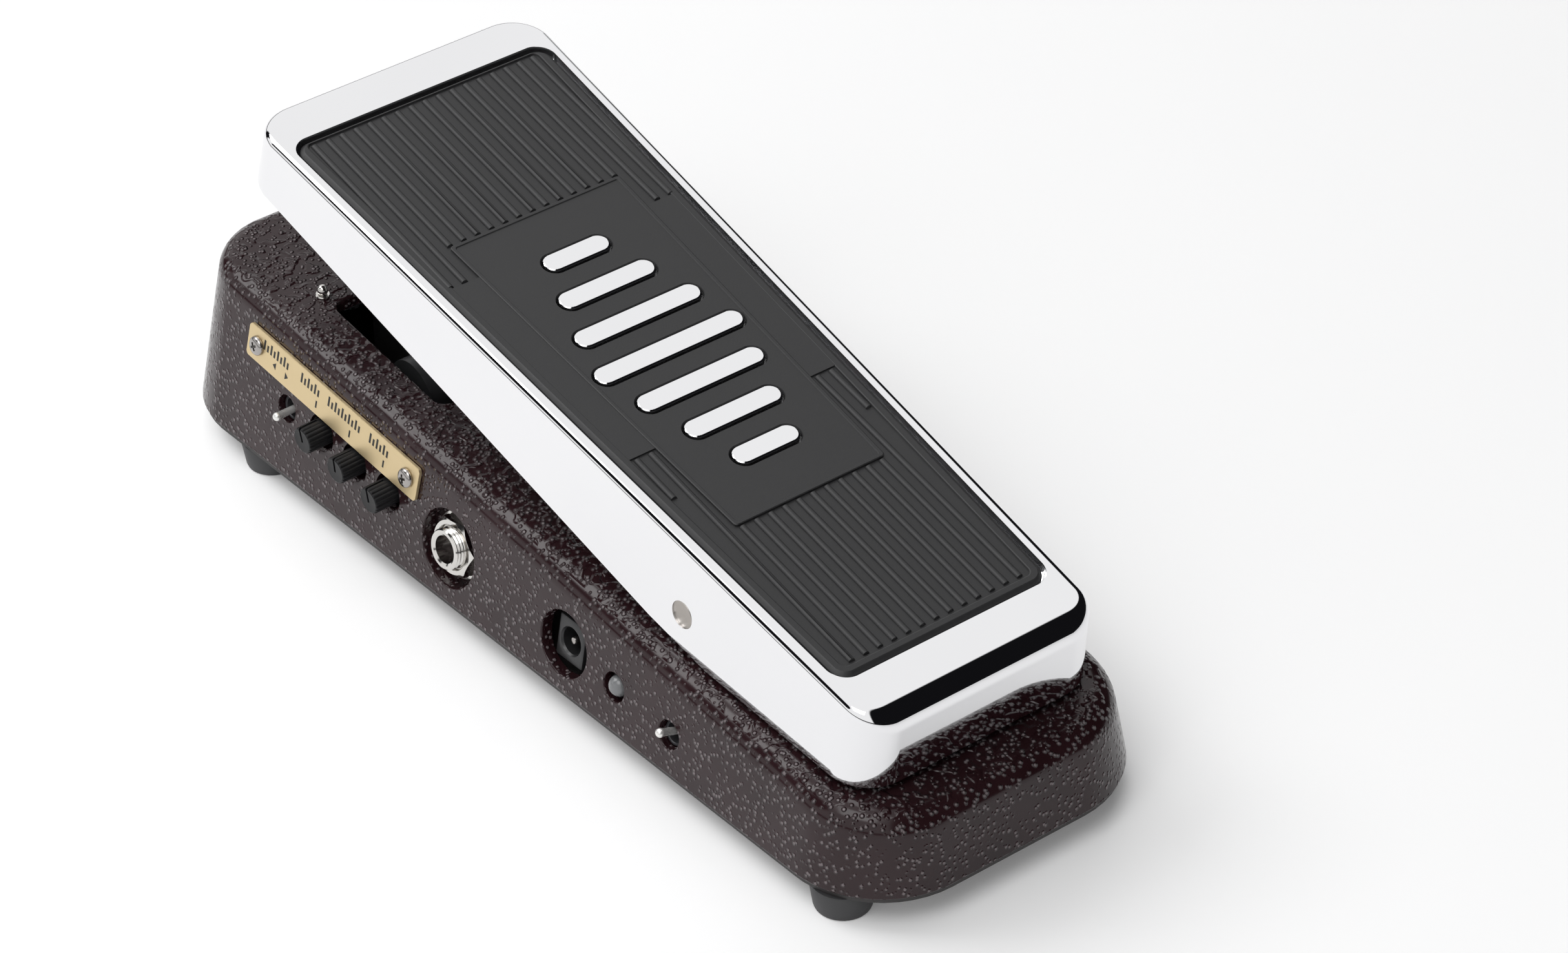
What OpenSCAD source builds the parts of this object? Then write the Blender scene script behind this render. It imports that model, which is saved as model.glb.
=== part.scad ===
// Wah treadle pedal: cast wedge housing, rocking chromed treadle, side controls.
// Y runs from heel (-) to toe (+), X across, Z up from the soles of the rubber feet.

/* [Housing] */
// overall length of the cast base
base_len = 252; // [240:1:265]
// half width of the base rim at the heel line
heel_half = 40.85; // [36:0.05:46]
// half width of the base rim at the toe line
toe_half = 51; // [46:0.1:56]
// radius of the upright corners at the rim
corner_r = 24; // [16:1:28]
// draft of the cast walls in degrees
draft = 10.5; // [4:0.5:12]
// height of the deck above the rim at mid length
deck_mid = 29.4; // [26:0.1:33]
// slope of the deck in degrees
deck_tilt = 5.23; // [3:0.01:8]
// thickness of the cast walls
wall = 3; // [2:0.1:4]
// thickness of the bottom plate
plate_t = 1.2; // [0.8:0.1:2]
// height of the rubber feet
foot_h = 6.8; // [5:0.1:10]

/* [Treadle] */
// rest tilt of the treadle in degrees, heel down
rest_tilt = 10.8; // [8:0.1:14]
// height of the treadle plane above the rim
tread_z = 62; // [56:0.5:70]
// half width of the treadle at the toe end
tread_toe_half = 38.1; // [34:0.1:44]
// half width of the treadle at the heel end
tread_heel_half = 31; // [28:0.1:40]
// treadle reach toward the toe
tread_toe = 100.7; // [90:0.1:110]
// treadle reach toward the heel
tread_heel = 116.7; // [105:0.1:125]
// outward flare of the treadle skirt in degrees
flare = 4; // [1:0.5:8]
// depth of the recess that takes the mat
recess_d = 2.4; // [1.5:0.1:3]

/* [Pivot and gear] */
// pivot pin position along the base
pivot_y = -55.8; // [-65:0.1:-45]
// pivot pin height above the rim
pivot_z = 34.5; // [30:0.1:40]
// pivot pin radius
pin_r = 3.175; // [2.5:0.005:4]
// pitch radius of the quadrant rack
rack_r = 105; // [95:1:115]
// tooth module of rack and pinion
tooth_m = 1; // [0.8:0.1:1.25]
// teeth on the pinion
pinion_teeth = 12; // [10:1:16]

/* [Controls] */
// bore radius of the jack sockets
jack_bore_r = 3.25; // [3.2:0.01:3.4]
// radius of the knob caps
knob_r = 3.2; // [2.8:0.1:4]
// reach of the knob caps beyond the wall
knob_out = 5.3; // [4:0.1:7]
// spacing of the knobs
knob_pitch = 12.65; // [11:0.05:15]

/* [Hidden] */
base_z = foot_h + plate_t;
half_len = base_len / 2;
taper = atan((toe_half - heel_half) / base_len);
centre_y = half_len - corner_r;
gear_gap = 0.08;
hull_fn = 32;
toe_w = half_at(centre_y) - corner_r / cos(taper);
heel_w = half_at(-centre_y) - corner_r / cos(taper);
jack_y = 16.6;
jack_z = 12.9;
cup_depth = 4.2;
cup_floor = 1.8;
dc_y = -24.6;
dc_z = 11.4;
led_y = -42;
led_z = 10.4;
mode_y = -60.6;
mode_z = 9.2;
polarity_y = 77.6;
polarity_z = 16.7;
first_knob_y = 64.4;
first_knob_z = 17.5;
knob_drop = 1.05;
knob_hole_r = 4.3;
plate_y = 60.6;
plate_z = 25.2;
plate_len = 65;
plate_w = 8.6;
label_t = 0.9;
plate_lean = 4.6;
label_hole = 28.6;
slot_half = 30;
slot_heel = 38;
slot_toe = 81;
switch_y = 90;
switch_top = 46;
foot_pos = [[33.5, -109], [42, 92]];
cover_pos = [[30.5, -90], [40.3, -4], [22.5, 115.2], [13.5, -117.2]];
pinion_r = tooth_m * pinion_teeth / 2;
mesh_angle = -5;
pinion_y = pivot_y + (rack_r + pinion_r) * cos(mesh_angle);
pinion_z = pivot_z + (rack_r + pinion_r) * sin(mesh_angle);
rack_step = 360 / (2 * rack_r / tooth_m);
mat_t = 2.2;
recess_toe = 88.6;
recess_heel = 102.8;
recess_toe_half = 34.5;
recess_heel_half = 28.3;
recess_r = 4.5;
panel_toe = 43.4;
panel_heel = -56.5;
bar_w = 5.4;
bar_pitch = 11.4;
bar_len = [17, 25, 33, 39, 33, 25, 17];
bar_mid = -6.6;
pot_x = 17.5;
window_gap = 0.7;
tower_x = 24.3;
tower_t = 6;
bush_r = 5;
board_z = 4.5;
standoff_pos = [[12, -44], [12, 22]];
$fn = 48;

// ---- shared frames -------------------------------------------------------

function half_at(y) = (heel_half + toe_half) / 2 + tan(taper) * y;
function wall_x(y, z) = half_at(y) - z * tan(draft) / cos(taper);
function deck_at(y) = deck_mid + y * tan(deck_tilt);
function knob_y(i) = first_knob_y - i * knob_pitch;
function knob_z(i) = first_knob_z - i * knob_drop;

// lifts everything drawn from the casting rim onto the feet
module on_feet() {
    translate([0, 0, base_z])
        children();
}

// +Z outward from the left wall, +X up the wall, +Y toward the toe
module on_wall(y, z, up = draft) {
    translate([-wall_x(y, z), y, z])
        rotate([0, 0, taper])
            rotate([0, up - 90, 0])
                children();
}

// local frame of the treadle plane
module on_treadle() {
    translate([0, -0.7, tread_z])
        rotate([rest_tilt, 0, 0])
            children();
}

module both_sides() {
    for (side = [0, 1])
        mirror([side, 0, 0])
            children();
}

// sketch in the Y-Z plane, extruded across X about the middle
module across(width) {
    rotate([90, 0, 90])
        linear_extrude(height = width, center = true)
            children();
}

// ---- housing ---------------------------------------------------------------

// one corner of the casting: upright cone at the rim, rounded shoulder at the deck
module base_corner(x, y, inset, sink) {
    top = deck_at(y) - sink;
    translate([x, y, -sink / 3])
        cylinder(h = 0.1, r = corner_r - inset, $fn = hull_fn);
    for (step = [[6, 0], [2.6, 0.9], [0.8, 2.4], [0, 4.6]])
        translate([x, y, top - step[0]])
            rotate([deck_tilt, 0, 0])
                translate([0, 0, -0.1])
                    cylinder(h = 0.1, r = corner_r - inset - step[1] - top * tan(draft)
                        + step[0] * tan(draft), $fn = hull_fn);
}

module base_body(inset, sink) {
    hull()
        both_sides() {
            base_corner(toe_w, centre_y, inset, sink);
            base_corner(heel_w, -centre_y, inset, sink);
        }
}

// recessed cup that carries a jack behind the wall
module jack_cup() {
    on_wall(jack_y, jack_z)
        translate([0, 0, -cup_depth - cup_floor])
            cylinder(h = cup_depth + cup_floor - 0.6, r = 11);
}

module jack_cut() {
    on_wall(jack_y, jack_z) {
        translate([0, 0, -cup_depth])
            cylinder(h = 12, r = 9.1);
        translate([0, 0, -12])
            cylinder(h = 20, r = 4.85);
    }
}

module tower() {
    translate([tower_x, pivot_y, 0])
        difference() {
            union() {
                translate([0, 0, pivot_z])
                    rotate([0, 90, 0])
                        cylinder(h = tower_t, r = 7.5, center = true);
                translate([-tower_t / 2, -7.5, 21])
                    cube([tower_t, 15, pivot_z - 21]);
            }
            translate([0, 0, pivot_z])
                rotate([0, 90, 0])
                    cylinder(h = tower_t + 2, r = bush_r + 0.02, center = true);
        }
}

module cover_bosses() {
    both_sides()
        for (p = cover_pos)
            translate([p[0], p[1], 0])
                cylinder(h = deck_at(p[1]) - 2, r = 3.2);
}

module housing() {
    color([0.16, 0.09, 0.09])
        difference() {
            union() {
                difference() {
                    base_body(0, 0);
                    base_body(wall, wall);
                }
                both_sides()
                    tower();
                both_sides()
                    jack_cup();
                intersection() {
                    base_body(0.5, 0.5);
                    cover_bosses();
                }
            }
            both_sides()
                jack_cut();
            both_sides()
                for (p = cover_pos)
                    translate([p[0], p[1], -1])
                        cylinder(h = 9, r = 1.25);
            on_wall(dc_y, dc_z)
                translate([0, 0, -6])
                    cylinder(h = 12, r = 7.6);
            on_wall(led_y, led_z)
                translate([0, 0, -6])
                    cylinder(h = 12, r = 3.5);
            on_wall(mode_y, mode_z)
                translate([0, 0, -6])
                    cylinder(h = 12, r = 3.3);
            on_wall(polarity_y, polarity_z)
                translate([0, 0, -6])
                    cylinder(h = 12, r = 3.2);
            for (i = [0 : 2])
                on_wall(knob_y(i), knob_z(i), 0)
                    translate([0, 0, -6])
                        cylinder(h = 12, r = knob_hole_r);
            on_wall(plate_y, plate_z)
                rotate([0, 0, -plate_lean])
                    for (s = [-1, 1])
                        translate([0, s * label_hole, -2.4])
                            cylinder(h = 4, r = 1.05);
            translate([-slot_half, slot_heel, 20])
                cube([2 * slot_half, slot_toe - slot_heel, 40]);
            translate([0, switch_y, 25])
                cylinder(h = 30, r = 6.1);
            translate([-slot_half, 84.5, 34])
                cylinder(h = 10, r = 1.15);
            for (x = [-14, -22])
                translate([x, 86, 30])
                    cylinder(h = 6, r = 1.2);
        }
}

// ---- base hardware -----------------------------------------------------------

module rim_outline(inset, z0, h) {
    hull()
        both_sides() {
            translate([toe_w, centre_y, z0])
                cylinder(h = h, r = corner_r - inset);
            translate([heel_w, -centre_y, z0])
                cylinder(h = h, r = corner_r - inset);
        }
}

module bottom_plate() {
    color([0.55, 0.55, 0.56])
        difference() {
            rim_outline(0.7, -plate_t, plate_t - 0.02);
            both_sides() {
                for (p = cover_pos)
                    translate([p[0], p[1], -3])
                        cylinder(h = 6, r = 1.6);
                for (p = foot_pos)
                    translate([p[0], p[1], -3])
                        cylinder(h = 6, r = 1.6);
                for (p = standoff_pos)
                    translate([p[0], p[1], -3])
                        cylinder(h = 6, r = 1.3);
            }
        }
}

module bottom_plate_screws() {
    color([0.75, 0.75, 0.77])
        both_sides()
            for (p = cover_pos)
                translate([p[0], p[1], -plate_t - 1.5])
                    difference() {
                        union() {
                            cylinder(h = 1.48, r = 2.8);
                            cylinder(h = 8.5, r = 1.22);
                        }
                        translate([-1.4, -0.3, -0.5])
                            cube([2.8, 0.6, 1.2]);
                        translate([-0.3, -1.4, -0.5])
                            cube([0.6, 2.8, 1.2]);
                    }
}

module rubber_feet() {
    color([0.12, 0.12, 0.12])
        both_sides()
            for (p = foot_pos)
                translate([p[0], p[1], -base_z])
                    difference() {
                        cylinder(h = foot_h - 0.02, r1 = 6.3, r2 = 7.2);
                        translate([0, 0, -1])
                            cylinder(h = 4, r = 3.4);
                        cylinder(h = 20, r = 1.65);
                    }
}

module foot_screws() {
    color([0.75, 0.75, 0.77])
        both_sides()
            for (p = foot_pos)
                translate([p[0], p[1], -base_z + 1.2]) {
                    cylinder(h = 1.78, r = 2.9);
                    cylinder(h = 9.5, r = 1.5);
                }
}

module label_plate() {
    color([0.86, 0.76, 0.55])
        on_wall(plate_y, plate_z)
            rotate([0, 0, -plate_lean])
                difference() {
                    translate([-plate_w / 2, -plate_len / 2, 0.02])
                        cube([plate_w, plate_len, label_t]);
                    for (s = [-1, 1])
                        translate([0, s * label_hole, -1])
                            cylinder(h = 4, r = 1.2);
                }
}

module label_screws() {
    color([0.75, 0.75, 0.77])
        on_wall(plate_y, plate_z)
            rotate([0, 0, -plate_lean])
                for (s = [-1, 1])
                    translate([0, s * label_hole, 0])
                        difference() {
                            union() {
                                translate([0, 0, label_t + 0.04])
                                    cylinder(h = 0.8, r1 = 2.3, r2 = 2.1);
                                translate([0, 0, label_t + 0.84])
                                    cylinder(h = 0.5, r1 = 2.1, r2 = 1.3);
                                translate([0, 0, -2.2])
                                    cylinder(h = 4, r = 1.02);
                            }
                            translate([-1.2, -0.25, label_t + 0.7])
                                cube([2.4, 0.5, 2]);
                            translate([-0.25, -1.2, label_t + 0.7])
                                cube([0.5, 2.4, 2]);
                        }
}

module deck_stud() {
    color([0.8, 0.8, 0.82])
        translate([-slot_half, 84.5, deck_at(84.5)])
            rotate([deck_tilt, 0, 0]) {
                translate([0, 0, -2.5])
                    cylinder(h = 3, r = 0.78);
                translate([0, 0, 0.02])
                    cylinder(h = 0.88, r = 1.7);
                translate([0, 0, 1.6])
                    sphere(r = 1.3);
            }
}

module pivot_bushes() {
    color([0.9, 0.9, 0.86])
        both_sides()
            translate([tower_x, pivot_y, pivot_z])
                rotate([0, 90, 0])
                    difference() {
                        cylinder(h = tower_t + 0.4, r = bush_r, center = true);
                        cylinder(h = tower_t + 2, r = pin_r + 0.05, center = true);
                    }
}

// ---- sockets, lamp and switches -------------------------------------------------

module jack_body() {
    on_wall(jack_y, jack_z)
        difference() {
            union() {
                translate([0, 0, -cup_depth - cup_floor - 0.05])
                    cylinder(h = cup_depth + cup_floor + 1.2, r = 4.75);
                translate([-7, -8, -cup_depth - cup_floor - 20.05])
                    cube([14, 16, 20]);
            }
            translate([0, 0, -cup_depth - cup_floor - 17])
                cylinder(h = 40, r = jack_bore_r);
        }
}

module jack_nut() {
    on_wall(jack_y, jack_z)
        translate([0, 0, -cup_depth + 0.03])
            difference() {
                union() {
                    cylinder(h = 0.8, r = 8);
                    translate([0, 0, 0.8])
                        cylinder(h = 2.4, r = 7.3, $fn = 6);
                }
                translate([0, 0, -1])
                    cylinder(h = 6, r = 4.8);
            }
}

module output_jack() {
    color([0.2, 0.2, 0.2])
        jack_body();
}

module output_jack_nut() {
    color([0.8, 0.8, 0.82])
        jack_nut();
}

module input_jack() {
    color([0.2, 0.2, 0.2])
        mirror([1, 0, 0])
            jack_body();
}

module input_jack_nut() {
    color([0.8, 0.8, 0.82])
        mirror([1, 0, 0])
            jack_nut();
}

module dc_jack() {
    color([0.1, 0.1, 0.1])
        on_wall(dc_y, dc_z) {
            difference() {
                translate([-5.2, -4.5, -14.5])
                    cube([10.4, 9, 12.4]);
                translate([0, 0, -11])
                    cylinder(h = 20, r = 3.1);
            }
            translate([0, 0, -11.5])
                cylinder(h = 9, r = 1);
        }
}

module status_led() {
    color([0.8, 0.8, 0.8, 0.6])
        on_wall(led_y, led_z) {
            translate([0, 0, -6.5])
                cylinder(h = 1, r = 2.9);
            translate([0, 0, -5.6])
                cylinder(h = 4.8, r = 2.5);
            translate([0, 0, -0.9])
                sphere(r = 2.49);
            for (s = [-1.27, 1.27])
                translate([0, s, -10])
                    cylinder(h = 3.6, r = 0.3);
        }
}

// sub-miniature toggle: box behind the wall, lever pivots inside the mouth
module toggle_body(y, z) {
    on_wall(y, z)
        difference() {
            union() {
                translate([-6, -3.8, -13.2])
                    cube([12, 7.6, 9]);
                translate([0, 0, -4.3])
                    cylinder(h = 2.6, r = 3);
            }
            translate([0, 0, -6.5])
                cylinder(h = 8, r = 2.3);
        }
}

module toggle_lever(y, z, lean) {
    on_wall(y, z)
        translate([0, 0, -4.6])
            rotate([0, lean, 0]) {
                sphere(r = 1.5);
                rotate([90, 0, 0])
                    cylinder(h = 4, r = 0.5, center = true);
                cylinder(h = 7.2, r1 = 0.8, r2 = 1.05);
                translate([0, 0, 7.1])
                    sphere(r = 1.15);
            }
}

module polarity_switch() {
    color([0.25, 0.25, 0.27])
        toggle_body(polarity_y, polarity_z);
}

module mode_switch() {
    color([0.25, 0.25, 0.27])
        toggle_body(mode_y, mode_z);
}

module polarity_lever() {
    color([0.85, 0.85, 0.87])
        toggle_lever(polarity_y, polarity_z, -11);
}

module mode_lever() {
    color([0.85, 0.85, 0.87])
        toggle_lever(mode_y, mode_z, 11);
}

// ---- side potentiometers -----------------------------------------------------------

module control_pots() {
    color([0.3, 0.32, 0.3])
        for (i = [0 : 2])
            on_wall(knob_y(i), knob_z(i), 0)
                difference() {
                    translate([-5, -5, -13.9])
                        cube([10, 10, 5.2]);
                    translate([0, 0, -13])
                        cylinder(h = 10, r = 1.55);
                }
}

module control_board() {
    color([0.1, 0.3, 0.15])
        on_wall(knob_y(1), knob_z(1), 0)
            translate([-8.5, -19, -16.3])
                cube([18, 38, 1.6]);
}

module side_shaft(i) {
    color([0.7, 0.7, 0.72])
        on_wall(knob_y(i), knob_z(i), 0)
            translate([0, 0, -12.8])
                cylinder(h = 15, r = 1.5);
}

module side_knob(i) {
    color([0.06, 0.06, 0.06])
        on_wall(knob_y(i), knob_z(i), 0)
            difference() {
                translate([0, 0, -6.6])
                    cylinder(h = 6.6 + knob_out, r = knob_r);
                translate([0, 0, -7])
                    cylinder(h = 9.5, r = 1.51);
                for (a = [0 : 20 : 340])
                    rotate([0, 0, a])
                        translate([knob_r, 0, -7])
                            cylinder(h = 6.3 + knob_out, r = 0.22);
                translate([0, -0.3, knob_out - 0.7])
                    cube([4, 0.6, 2]);
            }
}

module knob_attack() {
    side_knob(0);
}

module shaft_attack() {
    side_shaft(0);
}

module knob_sense() {
    side_knob(1);
}

module shaft_sense() {
    side_shaft(1);
}

module knob_time() {
    side_knob(2);
}

module shaft_time() {
    side_shaft(2);
}

// ---- electronics -------------------------------------------------------------------

module main_board() {
    color([0.1, 0.3, 0.15])
        difference() {
            translate([-15, -48, board_z])
                cube([30, 74, 1.6]);
            both_sides()
                for (p = standoff_pos)
                    translate([p[0], p[1], 0])
                        cylinder(h = 20, r = 1.3);
        }
}

module board_standoffs() {
    color([0.85, 0.85, 0.85])
        both_sides()
            for (p = standoff_pos)
                translate([p[0], p[1], 0.02])
                    difference() {
                        cylinder(h = board_z - 0.04, r = 2.4);
                        translate([0, 0, -1])
                            cylinder(h = 8, r = 1.25);
                    }
}

module board_screws() {
    color([0.75, 0.75, 0.77])
        both_sides()
            for (p = standoff_pos)
                translate([p[0], p[1], board_z + 1.62]) {
                    cylinder(h = 1.5, r = 2.2);
                    translate([0, 0, -4])
                        cylinder(h = 4.2, r = 1.2);
                }
}

module inductor() {
    color([0.55, 0.1, 0.08])
        translate([7.4, -28, board_z + 1.62]) {
            cylinder(h = 9, r = 6.5);
            translate([0, 0, 9])
                cylinder(h = 0.8, r = 5.4);
        }
}

module capacitors() {
    color([0.15, 0.2, 0.45])
        translate([0, 0, board_z + 1.62]) {
            for (p = [[-10, -30], [-10, -20], [-10, 2], [9, 4]])
                translate([p[0], p[1], 0])
                    cylinder(h = 8, r = 2.5);
            for (p = [[-3, 10], [3, -12]])
                translate([p[0] - 3.6, p[1] - 1.3, 0])
                    cube([7.2, 2.6, 6]);
        }
}

module transistors() {
    color([0.1, 0.1, 0.1])
        for (p = [[-3, -38], [8, -8], [-4, 18]])
            translate([p[0], p[1], board_z + 1.62]) {
                for (s = [-1.3, 0, 1.3])
                    translate([s, 0, 0])
                        cylinder(h = 3.2, r = 0.25);
                translate([0, 0, 3])
                    difference() {
                        cylinder(h = 4.6, r = 2.3);
                        translate([-3, 1.2, -1])
                            cube([6, 3, 8]);
                    }
            }
}

module resistors() {
    color([0.75, 0.65, 0.45])
        for (p = [[-3, -28], [-3, -20], [-3, -6], [-3, 1], [7, 14], [7, 19]])
            translate([p[0], p[1], board_z + 1.62 + 1.15])
                rotate([0, 90, 0])
                    cylinder(h = 6.2, r = 1.1, center = true);
}

module battery() {
    color([0.2, 0.2, 0.22])
        translate([-18, -85, 0.6]) {
            cube([46, 26, 17.2]);
            for (y = [6.6, 19.4])
                translate([-2.2, y, 8.6])
                    rotate([0, 90, 0])
                        cylinder(h = 2.4, r = 2.8);
        }
}

module battery_snap() {
    color([0.08, 0.08, 0.08])
        translate([-22.4, -84, 1.6])
            difference() {
                cube([3.4, 24, 15]);
                for (y = [5.6, 18.4])
                    translate([1, y, 7.6])
                        rotate([0, 90, 0])
                            cylinder(h = 6, r = 2.85);
            }
}

// ---- footswitch -----------------------------------------------------------------------

module footswitch_body() {
    color([0.2, 0.22, 0.3])
        difference() {
            union() {
                translate([-7.6, switch_y - 8.5, 14])
                    cube([15.2, 17, 18.6]);
                translate([0, switch_y, 32])
                    cylinder(h = 11.6, r = 5.9);
                for (x = [-5, 0, 5])
                    for (y = [-4.8, 4.8])
                        translate([x - 1, switch_y + y - 0.4, 9.5])
                            cube([2, 0.8, 5]);
            }
            translate([0, switch_y, 24])
                cylinder(h = 30, r = 4.1);
        }
}

module footswitch_nuts() {
    color([0.8, 0.8, 0.82])
        translate([0, switch_y, 0]) {
            translate([0, 0, 38.5])
                difference() {
                    cylinder(h = 3, r = 8.6, $fn = 6);
                    translate([0, 0, -1])
                        cylinder(h = 6, r = 5.95);
                }
            translate([0, 0, 32.7])
                difference() {
                    cylinder(h = 1, r = 8);
                    translate([0, 0, -1])
                        cylinder(h = 6, r = 5.95);
                }
        }
}

module footswitch_plunger() {
    color([0.85, 0.85, 0.87])
        translate([0, switch_y, 0]) {
            translate([0, 0, 29])
                cylinder(h = switch_top - 30, r = 4.05);
            translate([0, 0, switch_top - 1.02])
                cylinder(h = 1, r1 = 4.05, r2 = 3.2);
        }
}

// ---- wah potentiometer, bracket and pinion ---------------------------------------------

module pot_bracket() {
    color([0.7, 0.7, 0.72])
        mirror([1, 0, 0])
        difference() {
            union() {
                translate([pot_x - 1.5, 44, 15.5])
                    cube([1.5, 40, 18.1]);
                translate([8, 82.2, deck_at(82.2) - wall - 0.05])
                    rotate([deck_tilt, 0, 0])
                        translate([0, 0, -1.5])
                            cube([18, 8, 1.5]);
            }
            translate([0, pinion_y, pinion_z])
                rotate([0, 90, 0])
                    cylinder(h = 40, r = 3.6);
            for (x = [14, 22])
                translate([x, 86, 25])
                    cylinder(h = 12, r = 1.4);
        }
}

module bracket_screws() {
    color([0.75, 0.75, 0.77])
        for (x = [-14, -22])
            translate([x, 86, 30.6]) {
                cylinder(h = 1.78, r = 2.3);
                cylinder(h = 4.8, r = 1.18);
            }
}

module wah_pot() {
    color([0.3, 0.32, 0.34])
        mirror([1, 0, 0])
        translate([pot_x + 0.02, pinion_y, pinion_z])
            rotate([0, 90, 0])
                difference() {
                    union() {
                        cylinder(h = 9, r = 8.4);
                        translate([0, 0, -4.4])
                            cylinder(h = 5, r = 3.55);
                        translate([7, -5, 3])
                            cube([5, 10, 1.2]);
                    }
                    translate([0, 0, -6])
                        cylinder(h = 13, r = 3.06);
                }
}

module wah_pot_nut() {
    color([0.8, 0.8, 0.82])
        mirror([1, 0, 0])
        translate([pot_x - 3.5, pinion_y, pinion_z])
            rotate([0, 90, 0])
                difference() {
                    cylinder(h = 1.95, r = 5.6, $fn = 6);
                    translate([0, 0, -1])
                        cylinder(h = 5, r = 3.58);
                }
}

module wah_pot_shaft() {
    color([0.75, 0.75, 0.77])
        mirror([1, 0, 0])
        translate([-3.4, pinion_y, pinion_z])
            rotate([0, 90, 0])
                cylinder(h = pot_x + 9.9, r = 3);
}

// straight-sided tooth, narrowed for running backlash
module tooth() {
    polygon([[-1.4, -0.95], [0, -0.62], [0.85, -0.36], [0.85, 0.36], [0, 0.62], [-1.4, 0.95]]
        * tooth_m);
}

module pinion() {
    color([0.9, 0.88, 0.8])
        translate([0, pinion_y, pinion_z])
            across(6.4)
                difference() {
                    union() {
                        circle(r = pinion_r - 1.3 * tooth_m);
                        for (i = [0 : pinion_teeth - 1])
                            rotate(180 + mesh_angle + (i + 0.5) * 360 / pinion_teeth)
                                translate([pinion_r, 0])
                                    tooth();
                    }
                    circle(r = 3.01);
                }
}

module rack_arc() {
    intersection() {
        difference() {
            circle(r = rack_r - 1.3 * tooth_m, $fn = 240);
            circle(r = rack_r - 6.5, $fn = 240);
        }
        polygon([[0, 0], [130 * cos(-8), 130 * sin(-8)], [130, 10], [130 * cos(17.4),
            130 * sin(17.4)]]);
    }
    for (i = [-1 : 7])
        rotate(mesh_angle + i * rack_step)
            translate([rack_r, 0])
                tooth();
}

module quadrant_rack() {
    color([0.9, 0.88, 0.8]) {
        difference() {
            union() {
                translate([0, pivot_y, pivot_z])
                    across(6)
                        rack_arc();
                on_treadle()
                    translate([-9, 33, -8.2])
                        cube([18, 17, 3.14]);
            }
            on_treadle()
                for (x = [-6, 6])
                    translate([x, 37, -12])
                        cylinder(h = 9, r = 1.3);
            on_treadle()
                translate([-20, 20, -5.06])
                    cube([40, 60, 20]);
        }
    }
}

module rack_screws() {
    color([0.75, 0.75, 0.77])
        on_treadle()
            for (x = [-6, 6])
                translate([x, 37, -9.8]) {
                    cylinder(h = 1.58, r = 2.2);
                    cylinder(h = 5.6, r = 1.2);
                }
}

// ---- treadle -----------------------------------------------------------------------------

module tread_corner(half, y, r, inset, drop, top) {
    for (step = [[0, 2.4], [0.7, 0.9], [2.4, 0], [28, -28 * tan(flare)]])
        if (step[0] >= top)
            translate([half - r, y, -step[0] - drop])
                cylinder(h = 0.05, r = r - step[1] - inset, $fn = hull_fn);
}

module tread_body(inset, drop) {
    hull()
        both_sides() {
            tread_corner(tread_toe_half - 0.4, tread_toe - 10, 10, inset, drop, 0);
            tread_corner(tread_heel_half + 0.3, -tread_heel + 9, 9, inset, drop, 0);
        }
}

// everything below the cut line of the skirt
module skirt_cut() {
    across(120)
        polygon([[-150, -15.6], [-tread_heel, -19.4], [-69, -25.2], [-50, -25], [tread_toe, -15],
            [130, -13], [130, -60], [-150, -60]]);
}

module recess_outline(grow) {
    hull()
        for (s = [-1, 1]) {
            translate([s * (recess_toe_half - recess_r), recess_toe - recess_r])
                circle(r = recess_r + grow);
            translate([s * (recess_heel_half - recess_r), -recess_heel + recess_r])
                circle(r = recess_r + grow);
        }
}

// rounded bar of the decorative sweep motif
module bar(len, w) {
    square([len - w, w], center = true);
    for (s = [-1, 1])
        translate([s * (len - w) / 2, 0])
            circle(r = w / 2);
}

module motif(grow) {
    for (i = [0 : 6])
        translate([0, bar_mid + (i - 3) * bar_pitch])
            bar(bar_len[i] + 2 * grow, bar_w + 2 * grow);
}

module treadle() {
    color([0.86, 0.86, 0.88])
        on_treadle()
            difference() {
                union() {
                    difference() {
                        tread_body(0, 0);
                        tread_body(3, 5);
                        translate([0, 0, -recess_d])
                            linear_extrude(height = 6)
                                recess_outline(0);
                    }
                    translate([0, 0, -recess_d - 0.5])
                        linear_extrude(height = recess_d + 0.8)
                            motif(0);
                    translate([0, -98, -19.4])
                        cylinder(h = 15.4, r = 5);
                }
                skirt_cut();
                translate([0, pin_local_y(), pin_local_z()])
                    rotate([0, 90, 0])
                        cylinder(h = 100, r = pin_r + 0.005, center = true);
                for (x = [-6, 6])
                    translate([x, 37, -6])
                        cylinder(h = 2.3, r = 1.22);
            }
}

function pin_local_y() = (pivot_y + 0.7) * cos(rest_tilt) + (pivot_z - tread_z) * sin(rest_tilt);
function pin_local_z() = -(pivot_y + 0.7) * sin(rest_tilt) + (pivot_z - tread_z) * cos(rest_tilt);

module ribs(from, to, half_to, half_from, inner) {
    pitch = 3.7;
    for (i = [-10 : 10])
        if (abs(i * pitch) > inner && abs(i * pitch) < min(half_to, half_from))
            translate([i * pitch - 0.55, from, mat_t - 0.05])
                cube([1.1, to - from, 0.75]);
}

module rubber_mat() {
    color([0.13, 0.13, 0.135])
        on_treadle()
            translate([0, 0, -recess_d + 0.02]) {
                linear_extrude(height = mat_t)
                    difference() {
                        recess_outline(-0.3);
                        motif(window_gap);
                    }
                ribs(panel_toe + 1, recess_toe - 3, recess_toe_half - 3, recess_toe_half - 3, -1);
                ribs(-recess_heel + 3.4, panel_heel - 1, recess_heel_half - 2, recess_heel_half, -1);
            }
}

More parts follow.
